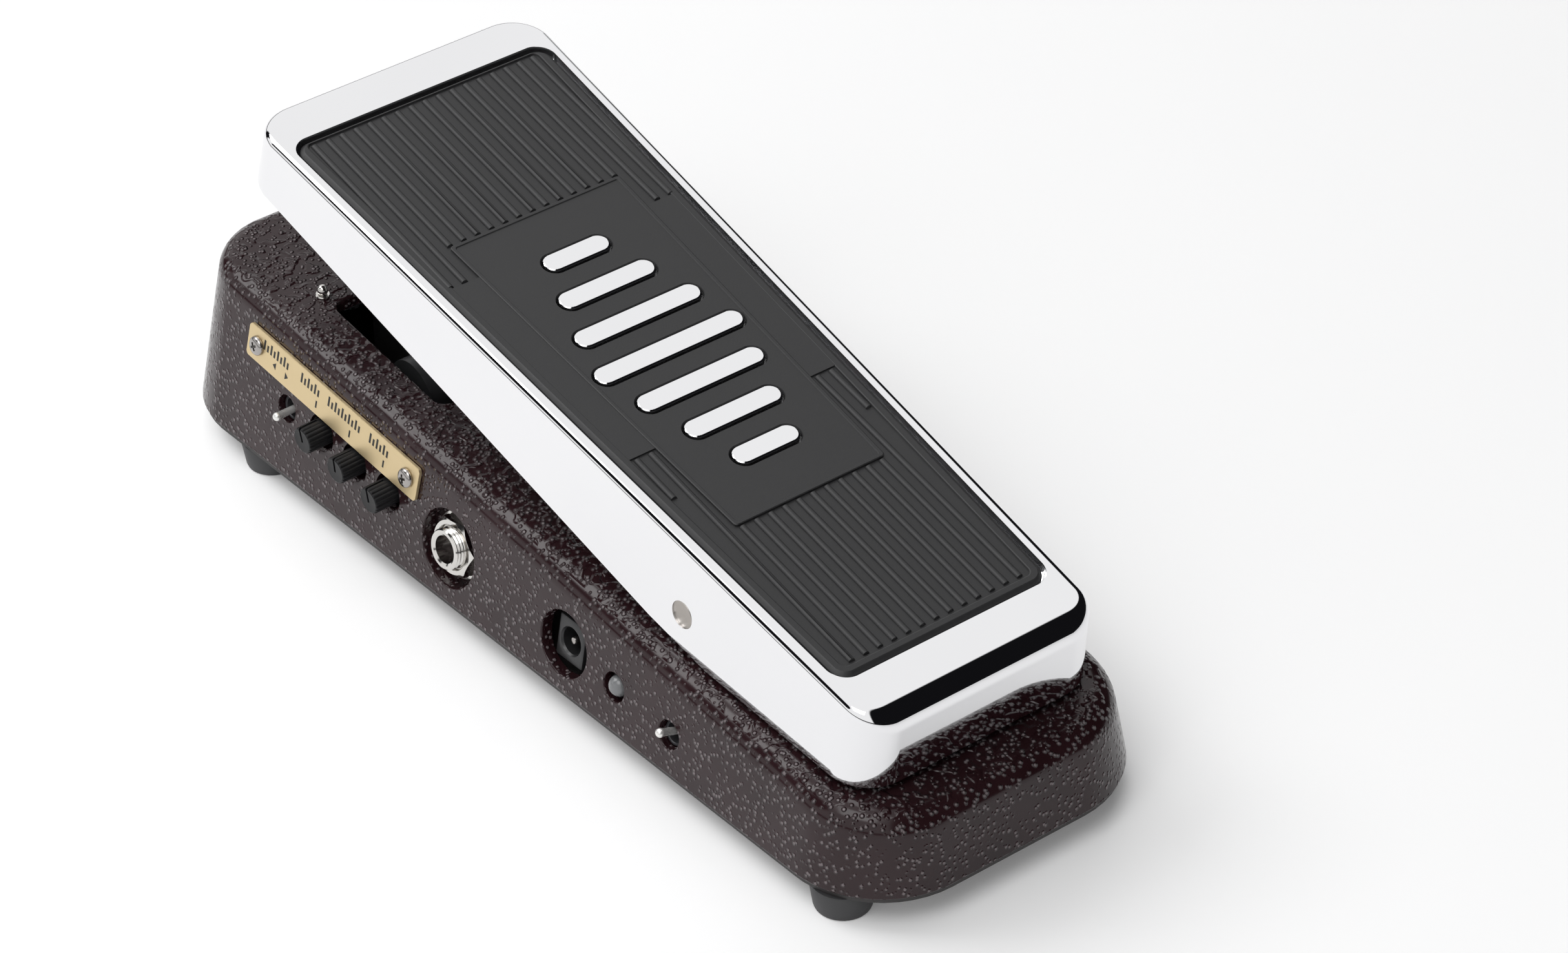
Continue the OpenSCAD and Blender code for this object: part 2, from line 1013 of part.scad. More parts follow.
module pivot_pin() {
    color([0.75, 0.75, 0.77])
        translate([0, pivot_y, pivot_z])
            rotate([0, 90, 0])
                cylinder(h = 67.6, r = pin_r, center = true);
}

module pivot_washers() {
    color([0.9, 0.9, 0.86])
        both_sides()
            translate([tower_x + tower_t / 2 + 0.5, pivot_y, pivot_z])
                rotate([0, 90, 0])
                    difference() {
                        cylinder(h = 2, r = 6);
                        translate([0, 0, -1])
                            cylinder(h = 5, r = pin_r + 0.02);
                    }
}

module toe_pad() {
    color([0.1, 0.1, 0.1])
        on_treadle()
            translate([0, 87, -8.06])
                cylinder(h = 3, r = 6.5);
}

module heel_pad() {
    color([0.1, 0.1, 0.1])
        on_treadle()
            translate([0, -98, -22.4])
                cylinder(h = 2.98, r = 5);
}

// ---- drawing ---------------------------------------------------------------------------------

on_feet() housing();
on_feet() bottom_plate();
on_feet() bottom_plate_screws();
on_feet() rubber_feet();
on_feet() foot_screws();
on_feet() label_plate();
on_feet() label_screws();
on_feet() deck_stud();
on_feet() pivot_bushes();
on_feet() output_jack();
on_feet() output_jack_nut();
on_feet() input_jack();
on_feet() input_jack_nut();
on_feet() dc_jack();
on_feet() status_led();
on_feet() polarity_switch();
on_feet() mode_switch();
on_feet() control_pots();
on_feet() control_board();
on_feet() main_board();
on_feet() board_standoffs();
on_feet() board_screws();
on_feet() inductor();
on_feet() capacitors();
on_feet() transistors();
on_feet() resistors();
on_feet() battery();
on_feet() battery_snap();
on_feet() footswitch_body();
on_feet() footswitch_nuts();
on_feet() wah_pot();
on_feet() wah_pot_nut();
on_feet() pot_bracket();
on_feet() bracket_screws();
on_feet() treadle();
on_feet() rubber_mat();
on_feet() pivot_pin();
on_feet() pivot_washers();
on_feet() toe_pad();
on_feet() heel_pad();
on_feet() quadrant_rack();
on_feet() rack_screws();
on_feet() wah_pot_shaft();
on_feet() pinion();
on_feet() knob_attack();
on_feet() shaft_attack();
on_feet() knob_sense();
on_feet() shaft_sense();
on_feet() knob_time();
on_feet() shaft_time();
on_feet() polarity_lever();
on_feet() mode_lever();
on_feet() footswitch_plunger();
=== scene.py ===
import math

import bmesh
import bpy
from mathutils import Matrix, Vector


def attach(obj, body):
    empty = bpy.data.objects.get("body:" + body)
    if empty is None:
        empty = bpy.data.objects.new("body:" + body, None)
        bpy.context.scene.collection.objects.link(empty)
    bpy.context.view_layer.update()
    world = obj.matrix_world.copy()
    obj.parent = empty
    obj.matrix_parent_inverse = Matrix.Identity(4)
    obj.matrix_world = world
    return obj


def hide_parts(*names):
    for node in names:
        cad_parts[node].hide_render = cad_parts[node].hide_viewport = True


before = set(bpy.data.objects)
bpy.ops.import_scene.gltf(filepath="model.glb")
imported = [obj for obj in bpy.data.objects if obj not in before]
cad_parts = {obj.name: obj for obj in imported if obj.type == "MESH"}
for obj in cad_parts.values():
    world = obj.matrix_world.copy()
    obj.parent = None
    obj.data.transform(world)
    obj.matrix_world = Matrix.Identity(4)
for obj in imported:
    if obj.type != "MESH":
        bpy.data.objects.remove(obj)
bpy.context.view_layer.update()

# ---- studio -----------------------------------------------------------------------
# A pale floor, one big soft light high on the toe side and a weaker one over the heel,
# in a white room with an unlit side, and a long lens looking down at the control side.

camera_data = bpy.data.cameras.new("camera")
SENSOR_MM, LENS_MM = 36.0, 111.37
CAMERA_PLACE = (-0.49741, -0.69368, 0.66974)
camera_data.sensor_width = SENSOR_MM
camera_data.lens = LENS_MM
camera = bpy.data.objects.new("camera", camera_data)
bpy.context.collection.objects.link(camera)
heading = math.radians(-37.56)
height_angle = math.radians(36.891)
roll = math.radians(-0.537)
backward = Vector((math.sin(heading) * math.cos(height_angle),
                   -math.cos(heading) * math.cos(height_angle), math.sin(height_angle)))
level_right = Vector((math.cos(heading), math.sin(heading), 0.0))
level_up = backward.cross(level_right)
camera_right = level_right * math.cos(roll) + level_up * math.sin(roll)
camera_up = level_up * math.cos(roll) - level_right * math.sin(roll)
camera_turn = Matrix((camera_right, camera_up, backward)).transposed().to_4x4()
camera.matrix_world = Matrix.Translation(CAMERA_PLACE) @ camera_turn
bpy.context.scene.camera = camera
bpy.context.scene.view_settings.view_transform = "Standard"


AIM = (0.0, 0.0, 0.03)
SOFTBOX_WIDTH = 0.7


def soft_light(name, place, power):
    """A square softbox in watts, turned to face the middle of the pedal."""
    data = bpy.data.lights.new(name, "AREA")
    data.shape = "SQUARE"
    data.size = SOFTBOX_WIDTH
    data.energy = power
    lamp = bpy.data.objects.new(name, data)
    bpy.context.collection.objects.link(lamp)
    turn = (Vector(place) - Vector(AIM)).to_track_quat("Z", "Y")
    lamp.matrix_world = Matrix.Translation(place) @ turn.to_matrix().to_4x4()


soft_light("toe_softbox", (-0.45, 0.75, 1.05), 6.2)
soft_light("heel_softbox", (-0.55, -0.35, 1.2), 4.4)

room = bpy.data.worlds.new("room")
bpy.context.scene.world = room
room.use_nodes = True
room_nodes = room.node_tree.nodes
room_links = room.node_tree.links
room_glow = room_nodes["Background"]


def room_ramp(source, low, high, start=0.0, end=1.0):
    """A soft step from one value to another as the source passes from low to high."""
    made = room_nodes.new("ShaderNodeMapRange")
    for key, value in (("From Min", low), ("From Max", high), ("To Min", start), ("To Max", end)):
        made.inputs[key].default_value = value
    made.interpolation_type = "SMOOTHSTEP"
    room_links.new(source, made.inputs["Value"])
    return made.outputs["Result"]


def room_maths(operation, first, second):
    made = room_nodes.new("ShaderNodeMath")
    made.operation = operation
    room_links.new(first, made.inputs[0])
    room_links.new(second, made.inputs[1])
    return made.outputs[0]


def facing(way):
    """How nearly the room is looked at in one direction."""
    made = room_nodes.new("ShaderNodeVectorMath")
    made.operation = "DOT_PRODUCT"
    made.inputs[1].default_value = way
    room_links.new(room_way, made.inputs[0])
    return made.outputs["Value"]


room_way = room_nodes.new("ShaderNodeTexCoord").outputs["Generated"]
room_split = room_nodes.new("ShaderNodeSeparateXYZ")
room_links.new(room_way, room_split.inputs[0])
across_room, along_room, up_room = room_split.outputs
above_floor = room_ramp(up_room, 0.0, 0.02)

# the dark parts of the room: a whole side, a low strip all round, a door and a panel
unlit_side = room_maths("MULTIPLY", room_ramp(facing((0.75, -0.66, 0.0)), 0.20, 0.27), above_floor)
low_strip = room_maths("MULTIPLY", room_ramp(up_room, 0.10, 0.14, 1.0, 0.0), above_floor)
door_start = room_ramp(across_room, -0.45, -0.38)
door_end = room_ramp(across_room, -0.18, -0.11, 1.0, 0.0)
door_wall = room_ramp(along_room, 0.50, 0.56)
door = room_maths("MULTIPLY", room_maths("MULTIPLY", door_start, door_end), door_wall)
panel_dark = room_ramp(facing((-0.71, 0.35, 0.61)), 0.955, 0.975)
unlit = unlit_side
for dark_part in (low_strip, door, panel_dark):
    unlit = room_maths("MAXIMUM", unlit, dark_part)

room_tone = room_nodes.new("ShaderNodeMix")
room_tone.data_type = "RGBA"
room_tone.inputs[6].default_value = (1.0, 1.0, 1.0, 1.0)
room_tone.inputs[7].default_value = (0.006, 0.006, 0.007, 1.0)
room_links.new(unlit, room_tone.inputs[0])
seen_direct = room_nodes.new("ShaderNodeLightPath").outputs["Is Camera Ray"]
room_pick = room_nodes.new("ShaderNodeMix")
room_pick.data_type = "RGBA"
room_pick.inputs[7].default_value = (1.2, 1.2, 1.2, 1.0)
room_links.new(seen_direct, room_pick.inputs[0])
room_links.new(room_tone.outputs[2], room_pick.inputs[6])
room_links.new(room_pick.outputs[2], room_glow.inputs["Color"])
room_glow.inputs["Strength"].default_value = 1.0


def mottled(name, colour, tint, metallic, roughness, spread, grain, relief, coat=0.0):
    """A finish whose colour, roughness and fine relief wander a little over the surface."""
    made = bpy.data.materials.new(name)
    made.use_nodes = True
    nodes = made.node_tree.nodes
    links = made.node_tree.links
    shader = nodes["Principled BSDF"]
    shader.inputs["Metallic"].default_value = metallic
    shader.inputs["Coat Weight"].default_value = coat
    place = nodes.new("ShaderNodeTexCoord").outputs["Object"]
    broad = nodes.new("ShaderNodeTexNoise")
    broad.inputs["Scale"].default_value = grain
    broad.inputs["Detail"].default_value = 4.0
    links.new(place, broad.inputs["Vector"])
    blend = nodes.new("ShaderNodeMix")
    blend.data_type = "RGBA"
    blend.inputs[6].default_value = (*colour, 1.0)
    blend.inputs[7].default_value = (*tint, 1.0)
    links.new(broad.outputs["Fac"], blend.inputs[0])
    links.new(blend.outputs[2], shader.inputs["Base Color"])
    gloss = nodes.new("ShaderNodeMapRange")
    gloss.inputs["To Min"].default_value = roughness - spread
    gloss.inputs["To Max"].default_value = roughness + spread
    links.new(broad.outputs["Fac"], gloss.inputs["Value"])
    links.new(gloss.outputs["Result"], shader.inputs["Roughness"])
    fine = nodes.new("ShaderNodeTexNoise")
    fine.inputs["Scale"].default_value = grain * 4.0
    fine.inputs["Detail"].default_value = 3.0
    links.new(place, fine.inputs["Vector"])
    bump = nodes.new("ShaderNodeBump")
    bump.inputs["Strength"].default_value = 1.0
    bump.inputs["Distance"].default_value = relief
    links.new(fine.outputs["Fac"], bump.inputs["Height"])
    links.new(bump.outputs["Normal"], shader.inputs["Normal"])
    return made


floor_mesh = bmesh.new()
bmesh.ops.create_grid(floor_mesh, x_segments=4, y_segments=4, size=5.0)
floor_data = bpy.data.meshes.new("floor")
floor_mesh.to_mesh(floor_data)
floor_mesh.free()
floor = bpy.data.objects.new("floor", floor_data)
bpy.context.collection.objects.link(floor)
pale_floor = mottled("pale_floor", (0.90, 0.90, 0.90), (0.88, 0.88, 0.885),
                     0.0, 0.75, 0.05, 6.0, 0.0001)
floor_inputs = pale_floor.node_tree.nodes["Principled BSDF"].inputs
floor_inputs["Emission Color"].default_value = (1.0, 1.0, 1.0, 1.0)
floor_inputs["Emission Strength"].default_value = 0.13
floor_data.materials.append(pale_floor)

# ---- housing ------------------------------------------------------------------------
# One die-cast zinc wedge with drafted walls, rounded upright corners and a soft shoulder,
# hollow below, painted in a glossy dark maroon ripple enamel. Everything is bolted to it.

RIM_LIFT = 8.0
DRAFT = math.radians(10.5)
TAPER = math.atan(10.15 / 252.0)
DECK_TILT = math.radians(5.23)
DECK_MID = 29.4
CORNER_R = 24.0
CORNER_Y = 102.0
TOE_CORNER_X = 26.014
HEEL_CORNER_X = 17.797
DRAFT_RUN = math.tan(DRAFT)
DECK_RUN = math.tan(DECK_TILT)
SHOULDER_R = 5.4
WALL = 3.0
CORNER_STEPS = 14

in_metres = Matrix.Translation((0, 0, RIM_LIFT * 0.001)) @ Matrix.Scale(0.001, 4)
upright = Matrix.Identity(4)
mirror_x = Matrix.Diagonal((-1.0, 1.0, 1.0, 1.0))


def half_width(y):
    return 45.925 + math.tan(TAPER) * y


def wall_x(y, z):
    return half_width(y) - z * DRAFT_RUN / math.cos(TAPER)


def deck_height(y):
    return DECK_MID + DECK_RUN * y


def on_wall(y, z, lean=DRAFT):
    """Frame on the control-side wall: +Z out of the wall, +X up it, +Y toward the toe."""
    return (Matrix.Translation((-wall_x(y, z), y, z)) @ Matrix.Rotation(TAPER, 4, "Z")
            @ Matrix.Rotation(lean - math.pi / 2, 4, "Y"))


def corner_ways(steps=CORNER_STEPS, stations=()):
    """Directions round an outline with four rounded corners, and any stops on its long sides."""
    ways = []
    for k in range(4 * steps):
        if k == 2 * steps:
            ways += [(-1.0, 0.0, y) for y in sorted(stations, reverse=True)]
        angle = (k + 0.5) * math.pi / (2 * steps)
        ways.append((math.cos(angle), math.sin(angle), None))
    return ways + [(1.0, 0.0, y) for y in sorted(stations)]


def loop_edges(loop):
    members = set(loop)
    return list({e for v in loop for e in v.link_edges if e.other_vert(v) in members})


def stack(bm, ways, rows):
    """A closed solid drawn up ring by ring: each row places one point for each direction."""
    loop = bmesh.ops.create_circle(bm, cap_ends=True, radius=1.0, segments=len(ways))["verts"]
    made = list(loop)
    for i, row in enumerate(rows):
        if i:
            drawn = bmesh.ops.extrude_edge_only(bm, edges=loop_edges(loop))["geom"]
            fresh = {v for v in drawn if isinstance(v, bmesh.types.BMVert)}
            loop = [next(e.other_vert(v) for e in v.link_edges if e.other_vert(v) in fresh)
                    for v in loop]
            made += loop
        for v, way in zip(loop, ways):
            v.co = row(*way)
    bmesh.ops.contextual_create(bm, geom=loop_edges(loop))
    return made


def shape_object(bm, name):
    data = bpy.data.meshes.new(name)
    bmesh.ops.recalc_face_normals(bm, faces=bm.faces)
    bm.to_mesh(data)
    bm.free()
    made = bpy.data.objects.new(name, data)
    bpy.context.collection.objects.link(made)
    return made


def join_or_cut(target, tool, operation):
    """Joins or cuts one closed solid with another and keeps the result as plain mesh."""
    step = target.modifiers.new("join_or_cut", "BOOLEAN")
    step.operation = operation
    step.solver = "EXACT"
    step.object = tool
    view = bpy.context.evaluated_depsgraph_get()
    result = bpy.data.meshes.new_from_object(target.evaluated_get(view))
    target.modifiers.clear()
    target.data = result
    bpy.data.objects.remove(tool)


def settle(piece, place, surface, crease=32.0, level_faces=False):
    """Puts a finished mesh in its place in metres, with crisp edges kept crisp."""
    bm = bmesh.new()
    bm.from_mesh(piece.data)
    bmesh.ops.remove_doubles(bm, verts=bm.verts, dist=0.0005)
    bmesh.ops.dissolve_degenerate(bm, dist=0.0005, edges=bm.edges)
    bm.transform(place)
    for face in bm.faces:
        face.smooth = True
    for edge in bm.edges:
        if edge.calc_face_angle(0.0) > math.radians(crease):
            edge.smooth = False
    piece.data.materials.clear()
    bm.to_mesh(piece.data)
    bm.free()
    for finish in (surface if isinstance(surface, (list, tuple)) else [surface]):
        piece.data.materials.append(finish)
    if level_faces:
        weigh = piece.modifiers.new("level_faces", "WEIGHTED_NORMAL")
        weigh.keep_sharp = True
        weigh.weight = 60
    return piece


def rod(bm, place, low, high, low_r, high_r=None, segments=32):
    """A capped round bar along the local Z axis from one height to another."""
    centred = place @ Matrix.Translation((0, 0, (low + high) / 2))
    return bmesh.ops.create_cone(bm, cap_ends=True, segments=segments, radius1=low_r,
                                 radius2=low_r if high_r is None else high_r,
                                 depth=high - low, matrix=centred)["verts"]


def block(bm, place, low, high):
    """A plain box between two corners in the given frame."""
    middle = (Vector(low) + Vector(high)) / 2
    size = Vector(high) - Vector(low)
    fitted = place @ Matrix.Translation(middle) @ Matrix.Diagonal((*size, 1.0))
    return bmesh.ops.create_cube(bm, size=1.0, matrix=fitted)["verts"]


def soft_block(bm, low, high, radius):
    """A box with small rounded edges, as a moulded case has."""
    edges = {e for v in block(bm, upright, low, high) for e in v.link_edges}
    bmesh.ops.bevel(bm, geom=list(edges), offset=radius, segments=2,
                    affect="EDGES", profile=0.5, material=-1)


def turned(bm, profile, place, steps=36):
    """A lathe-turned solid about the local Z axis from a profile of (radius, height)."""
    old = set(bm.verts)
    points = [bm.verts.new((r, 0, z)) for r, z in profile]
    lines = [bm.edges.new(pair) for pair in zip(points, points[1:])]
    bmesh.ops.spin(bm, geom=points + lines, cent=(0, 0, 0), axis=(0, 0, 1),
                   angle=2 * math.pi, steps=steps, use_merge=True)
    made = [v for v in bm.verts if v not in old]
    bmesh.ops.remove_doubles(bm, verts=made, dist=0.0001)
    made = [v for v in bm.verts if v not in old]
    bmesh.ops.recalc_face_normals(bm, faces=list({f for v in made for f in v.link_faces}))
    bmesh.ops.transform(bm, matrix=place, verts=made)
    return made


def ball_profile(radius, middle, start, step, count):
    """Points up the side of a ball, by angles in degrees from its lowest point."""
    turns = [math.radians(start + step * i) for i in range(count)]
    return [(radius * math.sin(a), middle - radius * math.cos(a)) for a in turns]


def housing_row(inset, drop=None, level=0.0):
    """One ring of the casting, at a level above the rim or at a drop below the sloping deck."""
    def point(across, along, station):
        corner_x = math.copysign(TOE_CORNER_X if along > 0 else HEEL_CORNER_X, across)
        corner_y = math.copysign(CORNER_Y, along)
        radius = CORNER_R - inset
        z = level
        if drop is not None:
            z = ((DECK_MID - drop + DECK_RUN * (corner_y + radius * along))
                 / (1.0 + DECK_RUN * DRAFT_RUN * along))
        radius -= DRAFT_RUN * z
        return Vector((corner_x + radius * across, corner_y + radius * along, z))
    return point


def shoulder_step(radius, turn, lean):
    """Inset and drop of a rounded arris after turning through an angle from the wall."""
    drop = radius - radius * math.sin(turn + lean)
    inset = (radius / math.cos(lean) - radius * math.cos(turn + lean)
             - math.tan(lean) * (radius - drop))
    return inset, drop


bm = bmesh.new()
casting_rows = [housing_row(WALL + 2.4, drop=WALL), housing_row(WALL, drop=WALL + 3.0),
                housing_row(WALL), housing_row(0.35), housing_row(0.0, level=0.5)]
for i in range(9):
    inset, drop = shoulder_step(SHOULDER_R, (math.pi / 2 - DRAFT) * i / 8, DRAFT)
    casting_rows.append(housing_row(inset, drop=drop))
stack(bm, corner_ways(), casting_rows)
housing = shape_object(bm, "housing_casting")

PIVOT = Vector((0.0, -55.8, 34.5))
TOWER_X, TOWER_T, TOWER_R, TOWER_FOOT, BUSH_R = 24.3, 6.0, 7.5, 21.5, 5.05
JACK_Y, JACK_Z = 16.6, 12.9
CUP_R, CUP_BOSS_R, CUP_DEPTH, BUSHING_HOLE_R = 9.1, 11.0, 4.2, 4.85
BOSS_R, BOSS_HOLE_R, BOSS_HOLE_DEPTH = 3.2, 1.25, 7.5
# place across, place along and height of each boss that takes a bottom plate screw
COVER_BOSSES = [(30.5, -90.0, 19.0), (40.3, -4.0, 8.5), (22.5, 115.2, 33.0), (13.5, -117.2, 16.0)]


def tower_face(side):
    """Frame on the pivot axis, in the middle of one tower, with +Z outward along the pin."""
    return (Matrix.Translation((side * TOWER_X, PIVOT.y, PIVOT.z))
            @ Matrix.Rotation(math.pi / 2, 4, "Y"))


bm = bmesh.new()
for side in (-1, 1):
    # each tower is a disc whose lower half is drawn straight down into the deck
    for v in rod(bm, tower_face(side), -TOWER_T / 2, TOWER_T / 2, TOWER_R, segments=40):
        if v.co.z < PIVOT.z - 0.01:
            away = v.co.y - PIVOT.y
            if abs(away) > TOWER_R - 0.3:
                v.co.y = PIVOT.y + math.copysign(TOWER_R, away)
            v.co.z = TOWER_FOOT
    for x, y, tall in COVER_BOSSES:
        rod(bm, Matrix.Translation((side * x, y, 0)), 0.02, tall, BOSS_R, segments=24)
for side in (upright, mirror_x):
    cup = rod(bm, on_wall(JACK_Y, JACK_Z), -CUP_DEPTH - 1.8, -0.6, CUP_BOSS_R, segments=48)
    bmesh.ops.transform(bm, matrix=side, verts=cup)
join_or_cut(housing, shape_object(bm, "bosses"), "UNION")

LED_Y, LED_Z = -42.0, 10.4
DC_Y, DC_Z = -24.6, 11.4
MODE_Y, MODE_Z = -60.6, 9.2
POLARITY_Y, POLARITY_Z = 77.6, 16.7
KNOBS = [(64.4 - 12.65 * i, 17.5 - 1.05 * i) for i in range(3)]
SWITCH_Y, SWITCH_HOLE_R = 90.0, 6.1
THROUGH_WALL = 7.0


def flared_bore(bm, place, radius, depth, flare=0.45):
    """A round cutter whose mouth opens a little, as paint rounds the edge of a hole."""
    mouth = radius + flare
    return turned(bm, [(0, -depth), (radius, -depth), (radius, -flare * 1.4),
                       (radius + flare * 0.3, -flare * 0.5), (mouth, 0.02), (mouth + 1.2, 1.2),
                       (mouth + 1.2, 3.0), (0, 3.0)], place, steps=48)


bm = bmesh.new()
for side in (upright, mirror_x):
    jack_hole = flared_bore(bm, on_wall(JACK_Y, JACK_Z), CUP_R, CUP_DEPTH)
    jack_hole += rod(bm, on_wall(JACK_Y, JACK_Z), -12.0, -CUP_DEPTH - 0.0005, BUSHING_HOLE_R)
    bmesh.ops.transform(bm, matrix=side, verts=jack_hole)
flared_bore(bm, on_wall(DC_Y, DC_Z), 7.6, THROUGH_WALL)
for y, z, radius in ((LED_Y, LED_Z, 3.3), (MODE_Y, MODE_Z, 3.2), (POLARITY_Y, POLARITY_Z, 3.2)):
    flared_bore(bm, on_wall(y, z), radius, THROUGH_WALL, 0.3)
for y, z in KNOBS:
    flared_bore(bm, on_wall(y, z, 0.0), 4.25, THROUGH_WALL, 0.3)
rod(bm, Matrix.Translation((0, SWITCH_Y, 25)), 0.0, 30.0, SWITCH_HOLE_R)
for side in (-1, 1):
    rod(bm, tower_face(side), -4.5, 4.5, BUSH_R)
    for x, y, tall in COVER_BOSSES:
        rod(bm, Matrix.Translation((side * x, y, 0)), -1.0, BOSS_HOLE_DEPTH, BOSS_HOLE_R,
            segments=16)
bmesh.ops.recalc_face_normals(bm, faces=bm.faces)
join_or_cut(housing, shape_object(bm, "holes"), "DIFFERENCE")

SLOT_HALF, SLOT_HEEL, SLOT_TOE, SLOT_R = 30.0, 38.0, 81.0, 3.0


def slot_row(height, grow):
    def point(across, along, station):
        x = math.copysign(SLOT_HALF - SLOT_R, across) + (SLOT_R + grow) * across
        y = ((SLOT_TOE - SLOT_R) if along > 0 else (SLOT_HEEL + SLOT_R)) + (SLOT_R + grow) * along
        return Vector((x, y, deck_height(y) + height))
    return point


bm = bmesh.new()
stack(bm, corner_ways(6), [slot_row(-16.0, 0.0), slot_row(-0.9, 0.0), slot_row(-0.35, 0.12),
                           slot_row(0.02, 0.6), slot_row(6.0, 6.0)])
join_or_cut(housing, shape_object(bm, "slot"), "DIFFERENCE")


def ripple_enamel():
    """Glossy dark maroon enamel with scattered raised beads whose tips are painted pale as a painted
    highlight, and a ripple on the deck.
    """
    made = bpy.data.materials.new("ripple_enamel")
    made.use_nodes = True
    nodes = made.node_tree.nodes
    links = made.node_tree.links
    shader = nodes["Principled BSDF"]
    shader.inputs["IOR"].default_value = 1.41

    def wired(kind, source, socket, **settings):
        node = nodes.new(kind)
        for key, value in settings.items():
            node.inputs[key.replace("_", " ")].default_value = value
        links.new(source, node.inputs[socket])
        return node

    place = nodes.new("ShaderNodeTexCoord").outputs["Object"]
    # height above a plane as steep as the deck: the heavy ripple is on the deck alone
    slope = nodes.new("ShaderNodeVectorMath")
    slope.operation = "DOT_PRODUCT"
    slope.inputs[1].default_value = (0.0, -DECK_RUN, 1.0)
    links.new(place, slope.inputs[0])
    top = wired("ShaderNodeMapRange", slope.outputs["Value"], "Value", From_Min=0.0364, From_Max=0.0373)
    bolder = wired("ShaderNodeMapRange", slope.outputs["Value"], "Value",
                   From_Min=0.0300, From_Max=0.0335, To_Min=1.0, To_Max=1.7)
    # scattered raised beads
    bead = wired("ShaderNodeTexVoronoi", place, "Vector", Scale=740.0)
    bead_shape = wired("ShaderNodeMapRange", bead.outputs["Distance"], "Value",
                       From_Min=0.46, From_Max=0.14)
    bead_shape.interpolation_type = "SMOOTHSTEP"
    # the pale tip of each bead is a painted highlight, standing in for the glint of the softboxes on it
    bead_glint_mask = wired("ShaderNodeMapRange", bead.outputs["Distance"], "Value",
                     From_Min=0.37, From_Max=0.14)
    bead_glint_mask.interpolation_type = "SMOOTHSTEP"
    # heavy worm-like ripple of the deck
    warp = wired("ShaderNodeTexNoise", place, "Vector",
                 Scale=430.0, Detail=0.4, Roughness=0.4, Distortion=0.3)
    ripple = wired("ShaderNodeMapRange", warp.outputs["Fac"], "Value", From_Min=0.46, From_Max=0.66)
    ripple.interpolation_type = "SMOOTHSTEP"
    mask = nodes.new("ShaderNodeMath")
    mask.operation = "MULTIPLY"
    links.new(ripple.outputs["Result"], mask.inputs[0])
    links.new(top.outputs["Result"], mask.inputs[1])
    beads = nodes.new("ShaderNodeMath")
    beads.operation = "MULTIPLY"
    links.new(bead_shape.outputs["Result"], beads.inputs[0])
    links.new(bolder.outputs["Result"], beads.inputs[1])
    height = nodes.new("ShaderNodeMath")
    height.operation = "MULTIPLY_ADD"
    height.inputs[1].default_value = 1.1
    links.new(mask.outputs[0], height.inputs[0])
    links.new(beads.outputs[0], height.inputs[2])
    swell = wired("ShaderNodeTexNoise", place, "Vector", Scale=90.0, Detail=1.0)
    tall = nodes.new("ShaderNodeMath")
    tall.operation = "MULTIPLY_ADD"
    tall.inputs[1].default_value = 0.5
    links.new(swell.outputs["Fac"], tall.inputs[0])
    links.new(height.outputs[0], tall.inputs[2])
    bump = nodes.new("ShaderNodeBump")
    bump.inputs["Strength"].default_value = 1.0
    bump.inputs["Distance"].default_value = 0.00030
    links.new(tall.outputs[0], bump.inputs["Height"])
    links.new(bump.outputs["Normal"], shader.inputs["Normal"])
    tone = nodes.new("ShaderNodeMix")
    tone.data_type = "RGBA"
    tone.inputs[6].default_value = (0.013, 0.0045, 0.0056, 1.0)
    tone.inputs[7].default_value = (0.026, 0.0105, 0.0125, 1.0)
    links.new(swell.outputs["Fac"], tone.inputs[0])
    # painted highlight: the bead tips get a pale colour in place of their glints
    bead_glint_paint = nodes.new("ShaderNodeMix")
    bead_glint_paint.data_type = "RGBA"
    bead_glint_paint.inputs[7].default_value = (0.150, 0.125, 0.130, 1.0)
    links.new(bead_glint_mask.outputs["Result"], bead_glint_paint.inputs[0])
    links.new(tone.outputs[2], bead_glint_paint.inputs[6])
    links.new(bead_glint_paint.outputs[2], shader.inputs["Base Color"])
    gloss = wired("ShaderNodeMapRange", swell.outputs["Fac"], "Value", To_Min=0.12, To_Max=0.20)
    links.new(gloss.outputs["Result"], shader.inputs["Roughness"])
    return made


enamel = ripple_enamel()
settle(housing, in_metres, enamel, crease=38.0, level_faces=True)
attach(housing, "base")
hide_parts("housing")

# ---- bottom plate, feet and their screws ----------------------------------------------
# A painted steel sheet closes the casting. Four tapered rubber feet are screwed through it,
# each with its screw head sunk in a well, and countersunk screws hold the sheet itself.

zinc_plate = mottled("zinc_plate", (0.42, 0.42, 0.43), (0.50, 0.50, 0.51),
                     1.0, 0.38, 0.06, 90.0, 0.00002)
screw_steel = mottled("screw_steel", (0.62, 0.61, 0.60), (0.70, 0.69, 0.68),
                      1.0, 0.25, 0.06, 500.0, 0.00001)
foot_rubber = mottled("foot_rubber", (0.028, 0.028, 0.030), (0.040, 0.040, 0.042),
                      0.0, 0.55, 0.08, 700.0, 0.00003)


def repaint(node, finish):
    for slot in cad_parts[node].material_slots:
        slot.material = finish


# near-black plate: partly its own dark paint, partly painted shade, so its edge reads as the shaded
# line under the housing
dark_sheet_and_shade = mottled("dark_sheet_and_shade", (0.020, 0.018, 0.018), (0.030, 0.027, 0.027),
                     0.0, 0.55, 0.06, 300.0, 0.00003)
repaint("bottom_plate", dark_sheet_and_shade)
repaint("bottom_plate_screws", dark_sheet_and_shade)
repaint("foot_screws", screw_steel)

